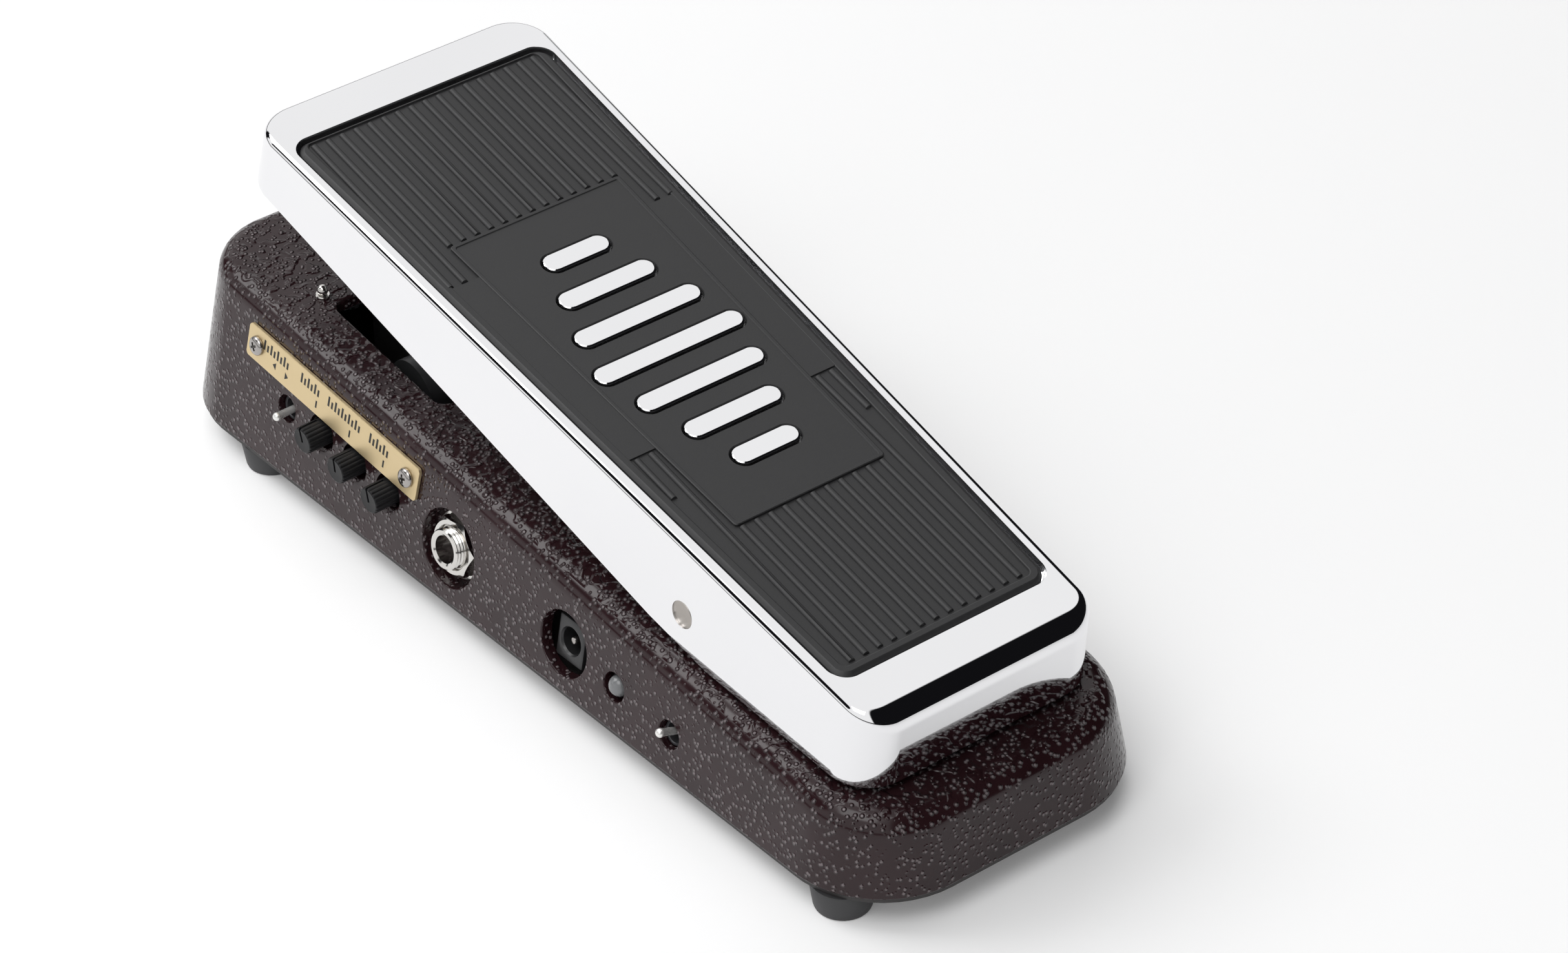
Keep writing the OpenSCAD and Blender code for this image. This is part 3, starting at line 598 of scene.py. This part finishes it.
# a foot from the screw hole down into the head's well, out across the sole and up the side
FOOT_PROFILE = [(1.7, 3.0), (3.4, 3.0), (3.4, 0.35), (3.75, 0.0), (5.6, 0.0), (6.15, 0.2),
                (6.35, 0.75), (7.15, 6.3), (7.0, 6.78), (1.7, 6.78), (1.7, 3.0)]
HEEL_FOOT, TOE_FOOT = (33.5, -109.0), (42.0, 92.0)
bm = bmesh.new()
for side in (-1, 1):
    for x, y in (HEEL_FOOT, TOE_FOOT):
        turned(bm, FOOT_PROFILE, Matrix.Translation((side * x, y, -RIM_LIFT)), steps=40)
feet = settle(shape_object(bm, "rubber_feet_set"), in_metres, foot_rubber)
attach(feet, "base")
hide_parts("rubber_feet")

# ---- label plate -------------------------------------------------------------------
# A stamped brass strip under two pan-head screws, brushed and lacquered, with its scale
# marks printed in dark ink: a rising and a falling triangle, and a row of graduations.

PLATE_Y, PLATE_Z = 60.6, 25.2
PLATE_HALF_L, PLATE_HALF_W, PLATE_T, PLATE_CORNER = 32.5, 4.3, 0.9, 1.1
label_frame = on_wall(PLATE_Y, PLATE_Z) @ Matrix.Rotation(math.radians(-4.6), 4, "Z")
brass = mottled("lacquered_brass", (0.62, 0.49, 0.28), (0.69, 0.55, 0.33),
                0.75, 0.36, 0.05, 160.0, 0.00001)
ink = mottled("dark_ink", (0.006, 0.006, 0.005), (0.012, 0.011, 0.010),
              0.0, 0.5, 0.05, 900.0, 0.000005)


def plate_row(height, inset):
    def point(across, along, station):
        corner_x = math.copysign(PLATE_HALF_W - PLATE_CORNER, across)
        corner_y = math.copysign(PLATE_HALF_L - PLATE_CORNER, along)
        radius = PLATE_CORNER - inset
        return Vector((corner_x + radius * across, corner_y + radius * along, height))
    return point


bm = bmesh.new()
stack(bm, corner_ways(6), [plate_row(*step) for step in (
    (0.02, 0.1), (0.12, 0.0), (PLATE_T - 0.22, 0.0), (PLATE_T - 0.06, 0.07), (PLATE_T, 0.22))])
label_plate = shape_object(bm, "brass_label_plate")
settle(label_plate, in_metres @ label_frame, brass, crease=40.0, level_faces=True)
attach(label_plate, "base")
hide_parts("label_plate")

bm = bmesh.new()
flat_on = Matrix.Translation((0, 0, PLATE_T))
MARK_T = 0.03


def print_bar(low, high):
    block(bm, flat_on, (low[0], low[1], -0.02), (high[0], high[1], MARK_T))


def print_triangle(middle, turn):
    place = flat_on @ Matrix.Translation((*middle, 0)) @ Matrix.Rotation(turn, 4, "Z")
    rod(bm, place @ Matrix.Scale(0.75, 4, (0, 1, 0)), -0.02, MARK_T, 1.05, segments=3)


STROKE_PITCH = 1.28
for group_y, count in ((21.6, 8), (8.4, 6), (-4.6, 10), (-17.8, 6)):
    for i in range(count):
        y = group_y - (i - (count - 1) / 2) * STROKE_PITCH
        tall = 2.5 if i % 2 == 0 else 1.7
        print_bar((0.45, y - 0.31), (0.45 + tall, y + 0.31))
for y in (5.4, -7.4, -20.2):
    print_bar((-2.6, y - 0.26), (-0.8, y + 0.26))
print_triangle((-1.3, 21.6), 0.0)
print_triangle((-1.5, 17.2), math.pi)
marks = settle(shape_object(bm, "label_marks"), in_metres @ label_frame, ink)
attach(marks, "base")

nickel = mottled("bright_nickel", (0.60, 0.585, 0.56), (0.66, 0.645, 0.62),
                 1.0, 0.13, 0.04, 420.0, 0.000008)


def recess_bar(bm, place, width, reach, depth):
    """One bar of a cross recess, shorter at its bottom than at its mouth."""
    slot_verts = block(bm, upright, (-reach, -width / 2, -depth), (reach, width / 2, 0.6))
    for v in slot_verts:
        if v.co.z < 0:
            v.co.x *= 0.45
    bmesh.ops.transform(bm, matrix=place, verts=slot_verts)


SCREW_SPREAD = 28.6
# heights of the domed head above the face of the plate
HEAD_PROFILE = [(1.0, 0.02), (2.18, 0.03), (2.3, 0.18), (2.3, 0.42), (2.16, 0.78),
                (1.85, 1.05), (1.4, 1.22), (0.8, 1.31), (0, 1.34)]
bm = bmesh.new()
for end in (-1, 1):
    turned(bm, [(0, -2.2), (1.0, -2.2)] + [(r, PLATE_T + z) for r, z in HEAD_PROFILE],
           Matrix.Translation((0, end * SCREW_SPREAD, 0)), steps=36)
label_screws = shape_object(bm, "label_screw_pair")
for quarter in (0.0, 90.0):
    bm = bmesh.new()
    for end, swing in ((-1, 20.0), (1, 35.0)):
        recess_bar(bm, Matrix.Translation((0, end * SCREW_SPREAD, PLATE_T + 1.3))
                   @ Matrix.Rotation(math.radians(swing + quarter), 4, "Z"), 0.6, 1.4, 0.8)
    join_or_cut(label_screws, shape_object(bm, "recess"), "DIFFERENCE")
dark_nickel = mottled("dark_nickel", (0.34, 0.32, 0.31), (0.42, 0.40, 0.385),
                      1.0, 0.2, 0.05, 500.0, 0.00001)
settle(label_screws, in_metres @ label_frame, dark_nickel)
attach(label_screws, "base")
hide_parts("label_screws")

# ---- deck stud --------------------------------------------------------------------
# A small turned steel ball stud with a washer, pressed into the deck beside the slot.

STUD_X, STUD_Y, BALL_R, BALL_Z = -30.0, 84.5, 1.3, 1.75
stud_frame = (Matrix.Translation((STUD_X, STUD_Y, deck_height(STUD_Y)))
              @ Matrix.Rotation(DECK_TILT, 4, "X"))
stud_foot = [(0, -2.4), (0.78, -2.4), (0.78, 0.02), (1.6, 0.03), (1.7, 0.15), (1.7, 0.5),
             (1.55, 0.68), (0.8, 0.75), (0.72, 0.95)]
bm = bmesh.new()
turned(bm, stud_foot + ball_profile(BALL_R, BALL_Z, 40, 14, 11), stud_frame, steps=28)
stud = settle(shape_object(bm, "ball_stud"), in_metres, nickel)
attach(stud, "base")
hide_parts("deck_stud")

# ---- jack sockets -------------------------------------------------------------------
# A moulded case behind the wall carries a nickel-plated threaded bushing, held in a round
# recess of the casting by a washer and a chamfered hexagon nut, one on each side.

black_moulding = mottled("black_moulding", (0.012, 0.012, 0.013), (0.020, 0.020, 0.021),
                         0.0, 0.35, 0.06, 600.0, 0.00001)
NUT_CHAMFER = [(0, 0.5), (6.55, 0.5), (7.4, 1.25), (7.4, 2.5), (6.2, 3.3), (0, 3.3)]
NUT_BORE = [(0, 0), (4.8, 0), (4.8, 2.7), (5.5, 3.4), (0, 3.4)]
WASHER = [(4.8, 0.03), (7.85, 0.03), (8.0, 0.2), (8.0, 0.6), (7.85, 0.8), (4.8, 0.8), (4.8, 0.03)]
thread = [(4.75 - 0.28 * (i % 2), -5.0 + 0.42 * i) for i in range(14)]
bushing_profile = ([(3.25, -7.0), (4.75, -7.0), (4.75, -5.2)] + thread
                   + [(4.75, 0.86), (4.45, 1.12), (3.75, 1.15), (3.25, 0.85), (3.25, -7.0)])
for side, place, node in ((-1, upright, "output_jack"), (1, mirror_x, "input_jack")):
    bm = bmesh.new()
    soft_block(bm, (-7, -8, -CUP_DEPTH - 21.85), (7, 8, -CUP_DEPTH - 1.85), 0.6)
    case = shape_object(bm, node + "_case")
    bm = bmesh.new()
    rod(bm, upright, -CUP_DEPTH - 18.8, 4.0, 3.3)
    join_or_cut(case, shape_object(bm, "bore"), "DIFFERENCE")
    bm = bmesh.new()
    bm.from_mesh(case.data)
    bpy.data.objects.remove(case)
    plastic_faces = set(bm.faces)
    turned(bm, bushing_profile, upright, steps=48)
    for face in bm.faces:
        if face not in plastic_faces:
            face.material_index = 1
    socket = settle(shape_object(bm, node + "_socket"), in_metres @ place @ on_wall(JACK_Y, JACK_Z),
                    [black_moulding, nickel])
    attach(socket, "base")
    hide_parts(node)

    cup_floor = Matrix.Translation((0, 0, -CUP_DEPTH))
    bm = bmesh.new()
    rod(bm, cup_floor @ Matrix.Rotation(math.radians(8), 4, "Z"), 0.84, 3.24, 7.3, segments=6)
    nut = shape_object(bm, node + "_hex_nut")
    bm = bmesh.new()
    turned(bm, NUT_CHAMFER, cup_floor, steps=48)
    join_or_cut(nut, shape_object(bm, "chamfer"), "INTERSECT")
    bm = bmesh.new()
    turned(bm, NUT_BORE, cup_floor, steps=48)
    join_or_cut(nut, shape_object(bm, "bore"), "DIFFERENCE")
    bm = bmesh.new()
    bm.from_mesh(nut.data)
    turned(bm, WASHER, cup_floor, steps=48)
    bm.to_mesh(nut.data)
    bm.free()
    settle(nut, in_metres @ place @ on_wall(JACK_Y, JACK_Z), nickel, crease=28.0)
    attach(nut, "base")
    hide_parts(node + "_nut")

# ---- power socket --------------------------------------------------------------------
# A moulded black barrel socket on the board behind a clearance hole, with its centre pin.

bm = bmesh.new()
soft_block(bm, (-5.2, -4.5, -14.5), (5.2, 4.5, -2.1), 0.5)
power = shape_object(bm, "barrel_socket")
bm = bmesh.new()
turned(bm, [(0, -11.0), (3.1, -11.0), (3.1, -2.6), (3.6, -1.9), (3.6, 0), (0, 0)], upright,
       steps=40)
join_or_cut(power, shape_object(bm, "barrel"), "DIFFERENCE")
bm = bmesh.new()
bm.from_mesh(power.data)
plastic_faces = set(bm.faces)
turned(bm, [(0, -11.5), (1.0, -11.5), (1.0, -3.3), (0.7, -2.8), (0, -2.6)], upright, steps=20)
for face in bm.faces:
    if face not in plastic_faces:
        face.material_index = 1
bm.to_mesh(power.data)
bm.free()
settle(power, in_metres @ on_wall(DC_Y, DC_Z), [black_moulding, dark_nickel])
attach(power, "base")
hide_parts("dc_jack")

# ---- status lamp ---------------------------------------------------------------------
# A clear five-millimetre lamp standing in its hole: a flanged epoxy dome on two leads.

clear_epoxy = mottled("clear_epoxy", (0.40, 0.41, 0.42), (0.34, 0.35, 0.36),
                      0.0, 0.12, 0.04, 500.0, 0.000004)
clear_epoxy.node_tree.nodes["Principled BSDF"].inputs["Transmission Weight"].default_value = 0.55
LAMP_R, LAMP_SHOULDER, LEAD_SPREAD = 2.5, -1.8, 1.27
bm = bmesh.new()
turned(bm, [(0, -7.4), (2.9, -7.4), (2.9, -6.5), (LAMP_R, -6.4), (LAMP_R, LAMP_SHOULDER)]
       + ball_profile(LAMP_R, LAMP_SHOULDER, 100, 10, 9), upright, steps=36)
for y in (-LEAD_SPREAD, LEAD_SPREAD):
    rod(bm, Matrix.Translation((0, y, 0)), -10.0, -7.3, 0.3, segments=10)
lamp = settle(shape_object(bm, "status_lamp"), in_metres @ on_wall(LED_Y, LED_Z), clear_epoxy)
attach(lamp, "base")
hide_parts("status_led")

# ---- toggle switches ------------------------------------------------------------------
# Two miniature toggles fixed behind clearance holes: a dark case with a short open mouth,
# and a plated bat lever that rocks inside it.

switch_case = mottled("switch_case", (0.045, 0.045, 0.050), (0.065, 0.065, 0.070),
                      0.4, 0.42, 0.06, 500.0, 0.00001)
satin_lever = mottled("satin_lever", (0.80, 0.79, 0.77), (0.86, 0.85, 0.83),
                      0.7, 0.28, 0.05, 500.0, 0.00001)
LEVER_PIVOT = -4.6
MOUTH_PROFILE = [(2.3, -4.3), (3.0, -4.3), (3.0, -1.95), (2.85, -1.75), (2.45, -1.72),
                 (2.3, -1.9), (2.3, -4.3)]
for name, body, y, z, lean in (("polarity", "polarity_toggle", POLARITY_Y, POLARITY_Z, -11.0),
                               ("mode", "mode_toggle", MODE_Y, MODE_Z, 11.0)):
    bm = bmesh.new()
    soft_block(bm, (-6, -3.8, -13.2), (6, 3.8, -4.2), 0.4)
    case = shape_object(bm, name + "_switch_case")
    bm = bmesh.new()
    rod(bm, upright, -6.5, 0.0, 2.3)
    join_or_cut(case, shape_object(bm, "mouth"), "DIFFERENCE")
    bm = bmesh.new()
    bm.from_mesh(case.data)
    turned(bm, MOUTH_PROFILE, upright, steps=36)
    bm.to_mesh(case.data)
    bm.free()
    settle(case, in_metres @ on_wall(y, z), switch_case)
    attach(case, "base")
    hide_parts(name + "_switch")

    bm = bmesh.new()
    tilted = Matrix.Translation((0, 0, LEVER_PIVOT)) @ Matrix.Rotation(math.radians(lean), 4, "Y")
    turned(bm, ball_profile(1.5, 0.0, 0, 15, 9) + [(0.85, 1.6)]
           + ball_profile(1.05, 7.15, 60, 12, 11), tilted, steps=28)
    lever = settle(shape_object(bm, name + "_bat_lever"), in_metres @ on_wall(y, z), satin_lever)
    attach(lever, body)
    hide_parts(name + "_lever")

# ---- side knobs ----------------------------------------------------------------------
# Three slim black plastic knobs pushed on plated shafts, each with fine splines for grip
# and a slot across the top that points to the setting.

knob_plastic = mottled("knob_plastic", (0.005, 0.005, 0.006), (0.010, 0.010, 0.011),
                       0.0, 0.46, 0.07, 800.0, 0.000015)
knob_plastic.node_tree.nodes["Principled BSDF"].inputs["Specular IOR Level"].default_value = 0.25
KNOB_R, KNOB_OUT, SPLINES, SPLINE_STEPS = 3.2, 5.3, 18, 6
SLOT_W, SHAFT_HOLE_R = 0.33, 1.52


def knob_row(height, radius, groove):
    def point(across, along, station):
        swing = (math.atan2(along, across) * SPLINES / (2 * math.pi)) % 1.0
        dip = max(0.0, 1.0 - abs(swing - 0.5) / 0.22)
        reach = radius - groove * dip ** 0.7
        return Vector((across * reach, along * reach, height))
    return point


for i, (name, aim) in enumerate((("attack", 14.0), ("sense", 6.0), ("time", 10.0))):
    bm = bmesh.new()
    turns = [math.tau * k / (SPLINES * SPLINE_STEPS) for k in range(SPLINES * SPLINE_STEPS)]
    ways = [(math.cos(a), math.sin(a), None) for a in turns]
    stack(bm, ways, [knob_row(*step) for step in (
        (-6.6, 3.05, 0.0), (-6.4, KNOB_R, 0.0), (-1.2, KNOB_R, 0.0), (-0.9, KNOB_R, 0.24),
        (KNOB_OUT - 0.45, KNOB_R - 0.02, 0.24), (KNOB_OUT - 0.15, KNOB_R - 0.14, 0.16),
        (KNOB_OUT, KNOB_R - 0.42, 0.0), (KNOB_OUT - 0.05, KNOB_R - 0.9, 0.0))])
    knob = shape_object(bm, name + "_knob")
    bm = bmesh.new()
    aimed = Matrix.Rotation(math.radians(aim), 4, "Z")
    block(bm, aimed, (-0.4, -SLOT_W, KNOB_OUT - 0.75), (4.0, SLOT_W, KNOB_OUT + 2.0))
    block(bm, aimed, (KNOB_R - 0.32, -SLOT_W, 0.4), (4.2, SLOT_W, KNOB_OUT - 0.76))
    rod(bm, upright, -8.0, 2.4, SHAFT_HOLE_R)
    join_or_cut(knob, shape_object(bm, "pointer"), "DIFFERENCE")
    settle(knob, in_metres @ on_wall(*KNOBS[i], 0.0), knob_plastic)
    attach(knob, name + "_control")
    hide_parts("knob_" + name)
    repaint("shaft_" + name, nickel)

# ---- electronics in the casting ---------------------------------------------------------
# A green main board on nylon pillars carries the wah circuit, a small board carries the
# side controls, and a nine-volt block lies at the heel. All keep their made shapes.

board_green = mottled("board_green", (0.012, 0.075, 0.030), (0.018, 0.100, 0.040),
                      0.0, 0.32, 0.06, 300.0, 0.00002, 0.3)
nylon = mottled("white_nylon", (0.72, 0.71, 0.67), (0.66, 0.65, 0.61),
                0.0, 0.45, 0.05, 400.0, 0.00001)
for node in ("main_board", "control_board"):
    repaint(node, board_green)
for node in ("board_standoffs", "pivot_bushes", "pivot_washers"):
    repaint(node, nylon)
repaint("board_screws", screw_steel)
repaint("control_pots", mottled("pot_case", (0.03, 0.10, 0.06), (0.04, 0.13, 0.08),
                                0.0, 0.4, 0.05, 500.0, 0.00001))
repaint("inductor", mottled("red_coil_tape", (0.35, 0.035, 0.025), (0.28, 0.03, 0.02),
                            0.0, 0.5, 0.06, 350.0, 0.00003))
repaint("capacitors", mottled("film_sleeve", (0.02, 0.04, 0.16), (0.03, 0.05, 0.21),
                              0.0, 0.3, 0.05, 400.0, 0.00001))
repaint("transistors", black_moulding)
repaint("resistors", mottled("resistor_lacquer", (0.46, 0.34, 0.18), (0.54, 0.41, 0.24),
                             0.0, 0.38, 0.05, 700.0, 0.00001))
repaint("battery", mottled("battery_sleeve", (0.05, 0.055, 0.07), (0.07, 0.075, 0.09),
                           0.5, 0.33, 0.05, 120.0, 0.00002))
repaint("battery_snap", black_moulding)

# ---- toe switch -----------------------------------------------------------------------
# A heavy push switch under the toe of the treadle, clamped through the deck by two nuts.

repaint("footswitch_body", mottled("switch_blue", (0.03, 0.05, 0.11), (0.04, 0.065, 0.14),
                                   0.2, 0.35, 0.05, 300.0, 0.00001))
repaint("footswitch_nuts", nickel)
repaint("footswitch_plunger", nickel)

# ---- wah potentiometer and gear ---------------------------------------------------------
# A sealed potentiometer on a bent steel bracket under the slot, turned by a nylon pinion
# that meshes with the curved rack under the treadle.

pot_shell = mottled("pot_shell", (0.035, 0.035, 0.038), (0.050, 0.050, 0.053),
                    0.3, 0.45, 0.06, 400.0, 0.00001)
repaint("wah_pot", pot_shell)
repaint("wah_pot_nut", nickel)
repaint("wah_pot_shaft", nickel)
repaint("pot_bracket", zinc_plate)
repaint("bracket_screws", screw_steel)
repaint("pinion", nylon)
repaint("quadrant_rack", nylon)
repaint("rack_screws", screw_steel)

# ---- treadle ------------------------------------------------------------------------
# A die-cast rocker plate with a deep skirt, polished and chromed all over. Its top holds a
# shallow recess for the mat, and the raised bars of the emblem stand up from its floor.

TREAD_TILT = math.radians(10.8)
TREAD_Y, TREAD_Z, PIN_R = -0.7, 62.0, 3.2
tread_place = (in_metres @ Matrix.Translation((0, TREAD_Y, TREAD_Z))
               @ Matrix.Rotation(TREAD_TILT, 4, "X"))
TOE_END, HEEL_END = 100.7, 116.7
TOE_HALF, HEEL_HALF = 37.7, 31.3
TOE_R, HEEL_R = 10.0, 9.0
SPLAY = math.radians(4.37)
SIDE_ARRIS, HEEL_ARRIS, TOE_ARRIS = 1.9, 5.0, 2.8
RECESS_D = 2.4
# depth of the skirt below the top at places along the treadle, deepest at the pivot
SKIRT_LINE = ((-140.0, 16.6), (-116.7, 19.4), (-69.0, 25.2), (-50.0, 25.0), (100.7, 15.0),
              (130.0, 13.0))


def skirt_depth(y):
    for (y0, d0), (y1, d1) in zip(SKIRT_LINE, SKIRT_LINE[1:]):
        if y <= y1:
            return d0 + (d1 - d0) * (y - y0) / (y1 - y0)
    return SKIRT_LINE[-1][1]


def tread_row(shape):
    """shape(along, depth of the skirt there) gives how far a point comes in and its depth."""
    def reach_at(toe, inset, depth):
        return (TOE_R if toe else HEEL_R) + math.tan(SPLAY) * (depth - 2.4) - inset

    def point(across, along, station):
        if station is not None:
            inset, depth = shape(0.0, skirt_depth(station))
            toe_x = TOE_HALF - TOE_R + reach_at(True, inset, depth)
            heel_x = HEEL_HALF - HEEL_R + reach_at(False, inset, depth)
            share = (station - HEEL_R + HEEL_END) / (TOE_END - TOE_R - HEEL_R + HEEL_END)
            return Vector((across * (heel_x + (toe_x - heel_x) * share), station, -depth))
        toe = along > 0
        radius = TOE_R if toe else HEEL_R
        x = math.copysign((TOE_HALF if toe else HEEL_HALF) - radius, across)
        y = (TOE_END - radius) if toe else (radius - HEEL_END)
        inset, depth = shape(along, skirt_depth(y + radius * along))
        reach = reach_at(toe, inset, depth)
        return Vector((x + reach * across, y + reach * along, -depth))
    return point


def arris_radius(along):
    end = TOE_ARRIS if along > 0 else HEEL_ARRIS
    return SIDE_ARRIS + (end - SIDE_ARRIS) * along * along


def recess_row(grow, depth, toe=88.6, heel=-102.8, toe_half=34.5, heel_half=28.3, corner=4.5):
    """One ring of the recess, or of any shape that tapers as it does, at a depth below the top."""
    def point(across, along, station):
        if station is not None:
            share = (station - heel - corner) / (toe - heel - 2 * corner)
            half = heel_half + (toe_half - heel_half) * share
            return Vector((across * (half + grow), station, -depth))
        x = math.copysign((toe_half if along > 0 else heel_half) - corner, across)
        y = (toe - corner) if along > 0 else (heel + corner)
        return Vector((x + (corner + grow) * across, y + (corner + grow) * along, -depth))
    return point


bm = bmesh.new()
tread_rows = [tread_row(shape) for shape in (
    lambda along, skirt: (6.0, 5.0), lambda along, skirt: (4.0, 5.6),
    lambda along, skirt: (3.0, 8.5), lambda along, skirt: (3.0, skirt),
    lambda along, skirt: (0.35, skirt), lambda along, skirt: (0.0, skirt - 0.4))]
for i in range(11):
    tread_rows.append(tread_row(lambda along, skirt, i=i: shoulder_step(
        arris_radius(along), (math.pi / 2 - SPLAY) * i / 10, SPLAY)))
for grow, depth in ((0.35, 0.0), (0.08, 0.1), (0.0, 0.4), (0.0, RECESS_D)):
    tread_rows.append(recess_row(grow, depth))
stack(bm, corner_ways(stations=(-69.0, -50.0)), tread_rows)
treadle = shape_object(bm, "treadle_casting")
bm = bmesh.new()
pin_axis = (Matrix.Rotation(-TREAD_TILT, 4, "X")
            @ Matrix.Translation((0, PIVOT.y - TREAD_Y, PIVOT.z - TREAD_Z))
            @ Matrix.Rotation(math.pi / 2, 4, "Y"))
rod(bm, pin_axis, -50.0, 50.0, PIN_R, segments=40)
join_or_cut(treadle, shape_object(bm, "pin_bores"), "DIFFERENCE")

BAR_HALF_W, BAR_PITCH, BAR_MIDDLE = 2.7, 11.4, -6.6
BAR_LENGTHS = (17.0, 25.0, 33.0, 39.0, 33.0, 25.0, 17.0)


def bar_solid(bm, i, levels, grow=0.0):
    """One round-ended bar of the emblem, built up through levels of (depth, inset)."""
    def row(depth, inset):
        def point(across, along, station):
            reach = BAR_HALF_W + grow - inset
            end_x = math.copysign(BAR_LENGTHS[i] / 2 - BAR_HALF_W, across)
            bar_y = BAR_MIDDLE + (i - 3) * BAR_PITCH
            return Vector((end_x + reach * across, bar_y + reach * along, -depth))
        return point
    stack(bm, corner_ways(6), [row(*level) for level in levels])


bm = bmesh.new()
for i in range(7):
    bar_solid(bm, i, ((RECESS_D + 0.4, 0.0), (0.35, 0.0), (0.12, 0.05), (-0.02, 0.2), (-0.12, 0.5)))
HEEL_STOP_Y, HEEL_STOP_R = -98.0, 5.0
rod(bm, Matrix.Translation((0, HEEL_STOP_Y, 0)), -19.4, -4.5, HEEL_STOP_R)
join_or_cut(treadle, shape_object(bm, "emblem_bars"), "UNION")
chrome = mottled("polished_chrome", (0.81, 0.81, 0.825), (0.84, 0.84, 0.85),
                 1.0, 0.035, 0.015, 30.0, 0.000004)
settle(treadle, tread_place, chrome, crease=34.0, level_faces=True)
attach(treadle, "rocker")
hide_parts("treadle")

# ---- rubber mat -----------------------------------------------------------------------
# A moulded black rubber mat glued in the recess, with lengthways ribs at toe and heel, a
# plain panel framed by a thin rail, and windows that let the emblem bars through.

MAT_TOP, FIELD_DEPTH = 0.25, 0.72
mat_rubber = mottled("mat_rubber", (0.021, 0.021, 0.022), (0.028, 0.028, 0.029),
                     0.0, 0.52, 0.05, 500.0, 0.00002)
field = dict(toe=86.9, heel=-99.6, toe_half=31.2, heel_half=25.0, corner=1.6)
bm = bmesh.new()
stack(bm, corner_ways(), [
    recess_row(-0.7, RECESS_D - 0.02), recess_row(-0.7, 1.25), recess_row(-0.8, 0.95),
    recess_row(-1.4, 0.42), recess_row(-1.75, MAT_TOP), recess_row(0.25, MAT_TOP, **field),
    recess_row(0.0, MAT_TOP + 0.1, **field), recess_row(-0.15, FIELD_DEPTH, **field)])
mat = shape_object(bm, "treadle_mat")

PANEL_TOE, PANEL_HEEL = 43.4, -56.5
panel = dict(toe=PANEL_TOE, heel=PANEL_HEEL, toe_half=22.8, heel_half=19.9, corner=0.9)
inside_rail = dict(toe=PANEL_TOE - 1.0, heel=PANEL_HEEL + 1.0, toe_half=21.8, heel_half=18.9,
                   corner=0.5)
bm = bmesh.new()
stack(bm, corner_ways(6), [
    recess_row(0.0, 1.6, **panel), recess_row(0.0, 0.2, **panel), recess_row(-0.2, 0.06, **panel),
    recess_row(0.2, 0.06, **inside_rail), recess_row(0.0, 0.28, **inside_rail)])
join_or_cut(mat, shape_object(bm, "panel"), "UNION")

STRIP_TOE, STRIP_HEEL = 32.5, -29.5


def half_at(y, shape):
    """Half width of a tapering shape of the mat at a place along it."""
    share = (y - shape["heel"]) / (shape["toe"] - shape["heel"])
    return shape["heel_half"] + (shape["toe_half"] - shape["heel_half"]) * share


bm = bmesh.new()
for side in (-1, 1):
    strip = block(bm, upright, (-1, STRIP_HEEL, -1.4), (1, STRIP_TOE, -MAT_TOP - 0.04))
    for v in strip:
        outer = v.co.x * side > 0
        v.co.x = side * (half_at(v.co.y, field) + 1.0 if outer else half_at(v.co.y, panel) - 0.5)
        if v.co.z > -1.0:
            v.co.y -= math.copysign(0.12, v.co.y)
join_or_cut(mat, shape_object(bm, "plain_strips"), "UNION")

RIB_PITCH, RIB_R, RIB_SIDE = 3.7, 0.78, 0.9
rib_zones = []
for i in range(-8, 9):
    x = i * RIB_PITCH
    reach = abs(x) + RIB_SIDE
    # a rib beside the panel runs on until it meets the plain strip
    toe_from = (STRIP_TOE if reach > panel["toe_half"] + 1.1 else PANEL_TOE) + 0.2
    heel_from = (STRIP_HEEL if reach > panel["heel_half"] + 1.7 else PANEL_HEEL) - 0.2
    rib_zones.append((x, toe_from, field["toe"] - 0.6))
    # near the heel the ribbed field is too narrow for the outermost ribs
    taper = (field["toe_half"] - field["heel_half"]) / (field["toe"] - field["heel"])
    field_meets = field["heel"] + (reach - field["heel_half"]) / taper
    heel_end = max(field["heel"] + 0.5, field_meets + 2.0)
    if heel_end < heel_from - 4:
        rib_zones.append((x, heel_end, heel_from))
bm = bmesh.new()
for x, start, end in rib_zones:
    middle, half_length = (start + end) / 2, (end - start) / 2
    stem = (Matrix.Translation((x, middle, -FIELD_DEPTH))
            @ Matrix.Rotation(-math.pi / 2, 4, "X"))
    for v in rod(bm, stem, -half_length, half_length, RIB_R, segments=24):
        if v.co.z > -FIELD_DEPTH + 0.2:
            v.co.y += 0.35 if v.co.y < middle else -0.35
        v.co.z = -FIELD_DEPTH + (v.co.z + FIELD_DEPTH) * 0.85
join_or_cut(mat, shape_object(bm, "ribs"), "UNION")
bm = bmesh.new()
for i in range(7):
    bar_solid(bm, i, ((3.2, 0.0), (0.6, 0.0), (0.22, -0.2), (-1.2, -0.2)), grow=0.45)
join_or_cut(mat, shape_object(bm, "windows"), "DIFFERENCE")
settle(mat, tread_place, mat_rubber, crease=18.0, level_faces=True)
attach(mat, "rocker")
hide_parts("rubber_mat")

# ---- pivot and pads --------------------------------------------------------------------
# A ground steel pin carries the treadle in two nylon bushes, and rubber pads under the toe
# and the heel soften both ends of its travel.

repaint("pivot_pin", mottled("ground_steel", (0.40, 0.37, 0.34), (0.48, 0.45, 0.42),
                             1.0, 0.42, 0.06, 300.0, 0.00002))
repaint("toe_pad", foot_rubber)
repaint("heel_pad", foot_rubber)
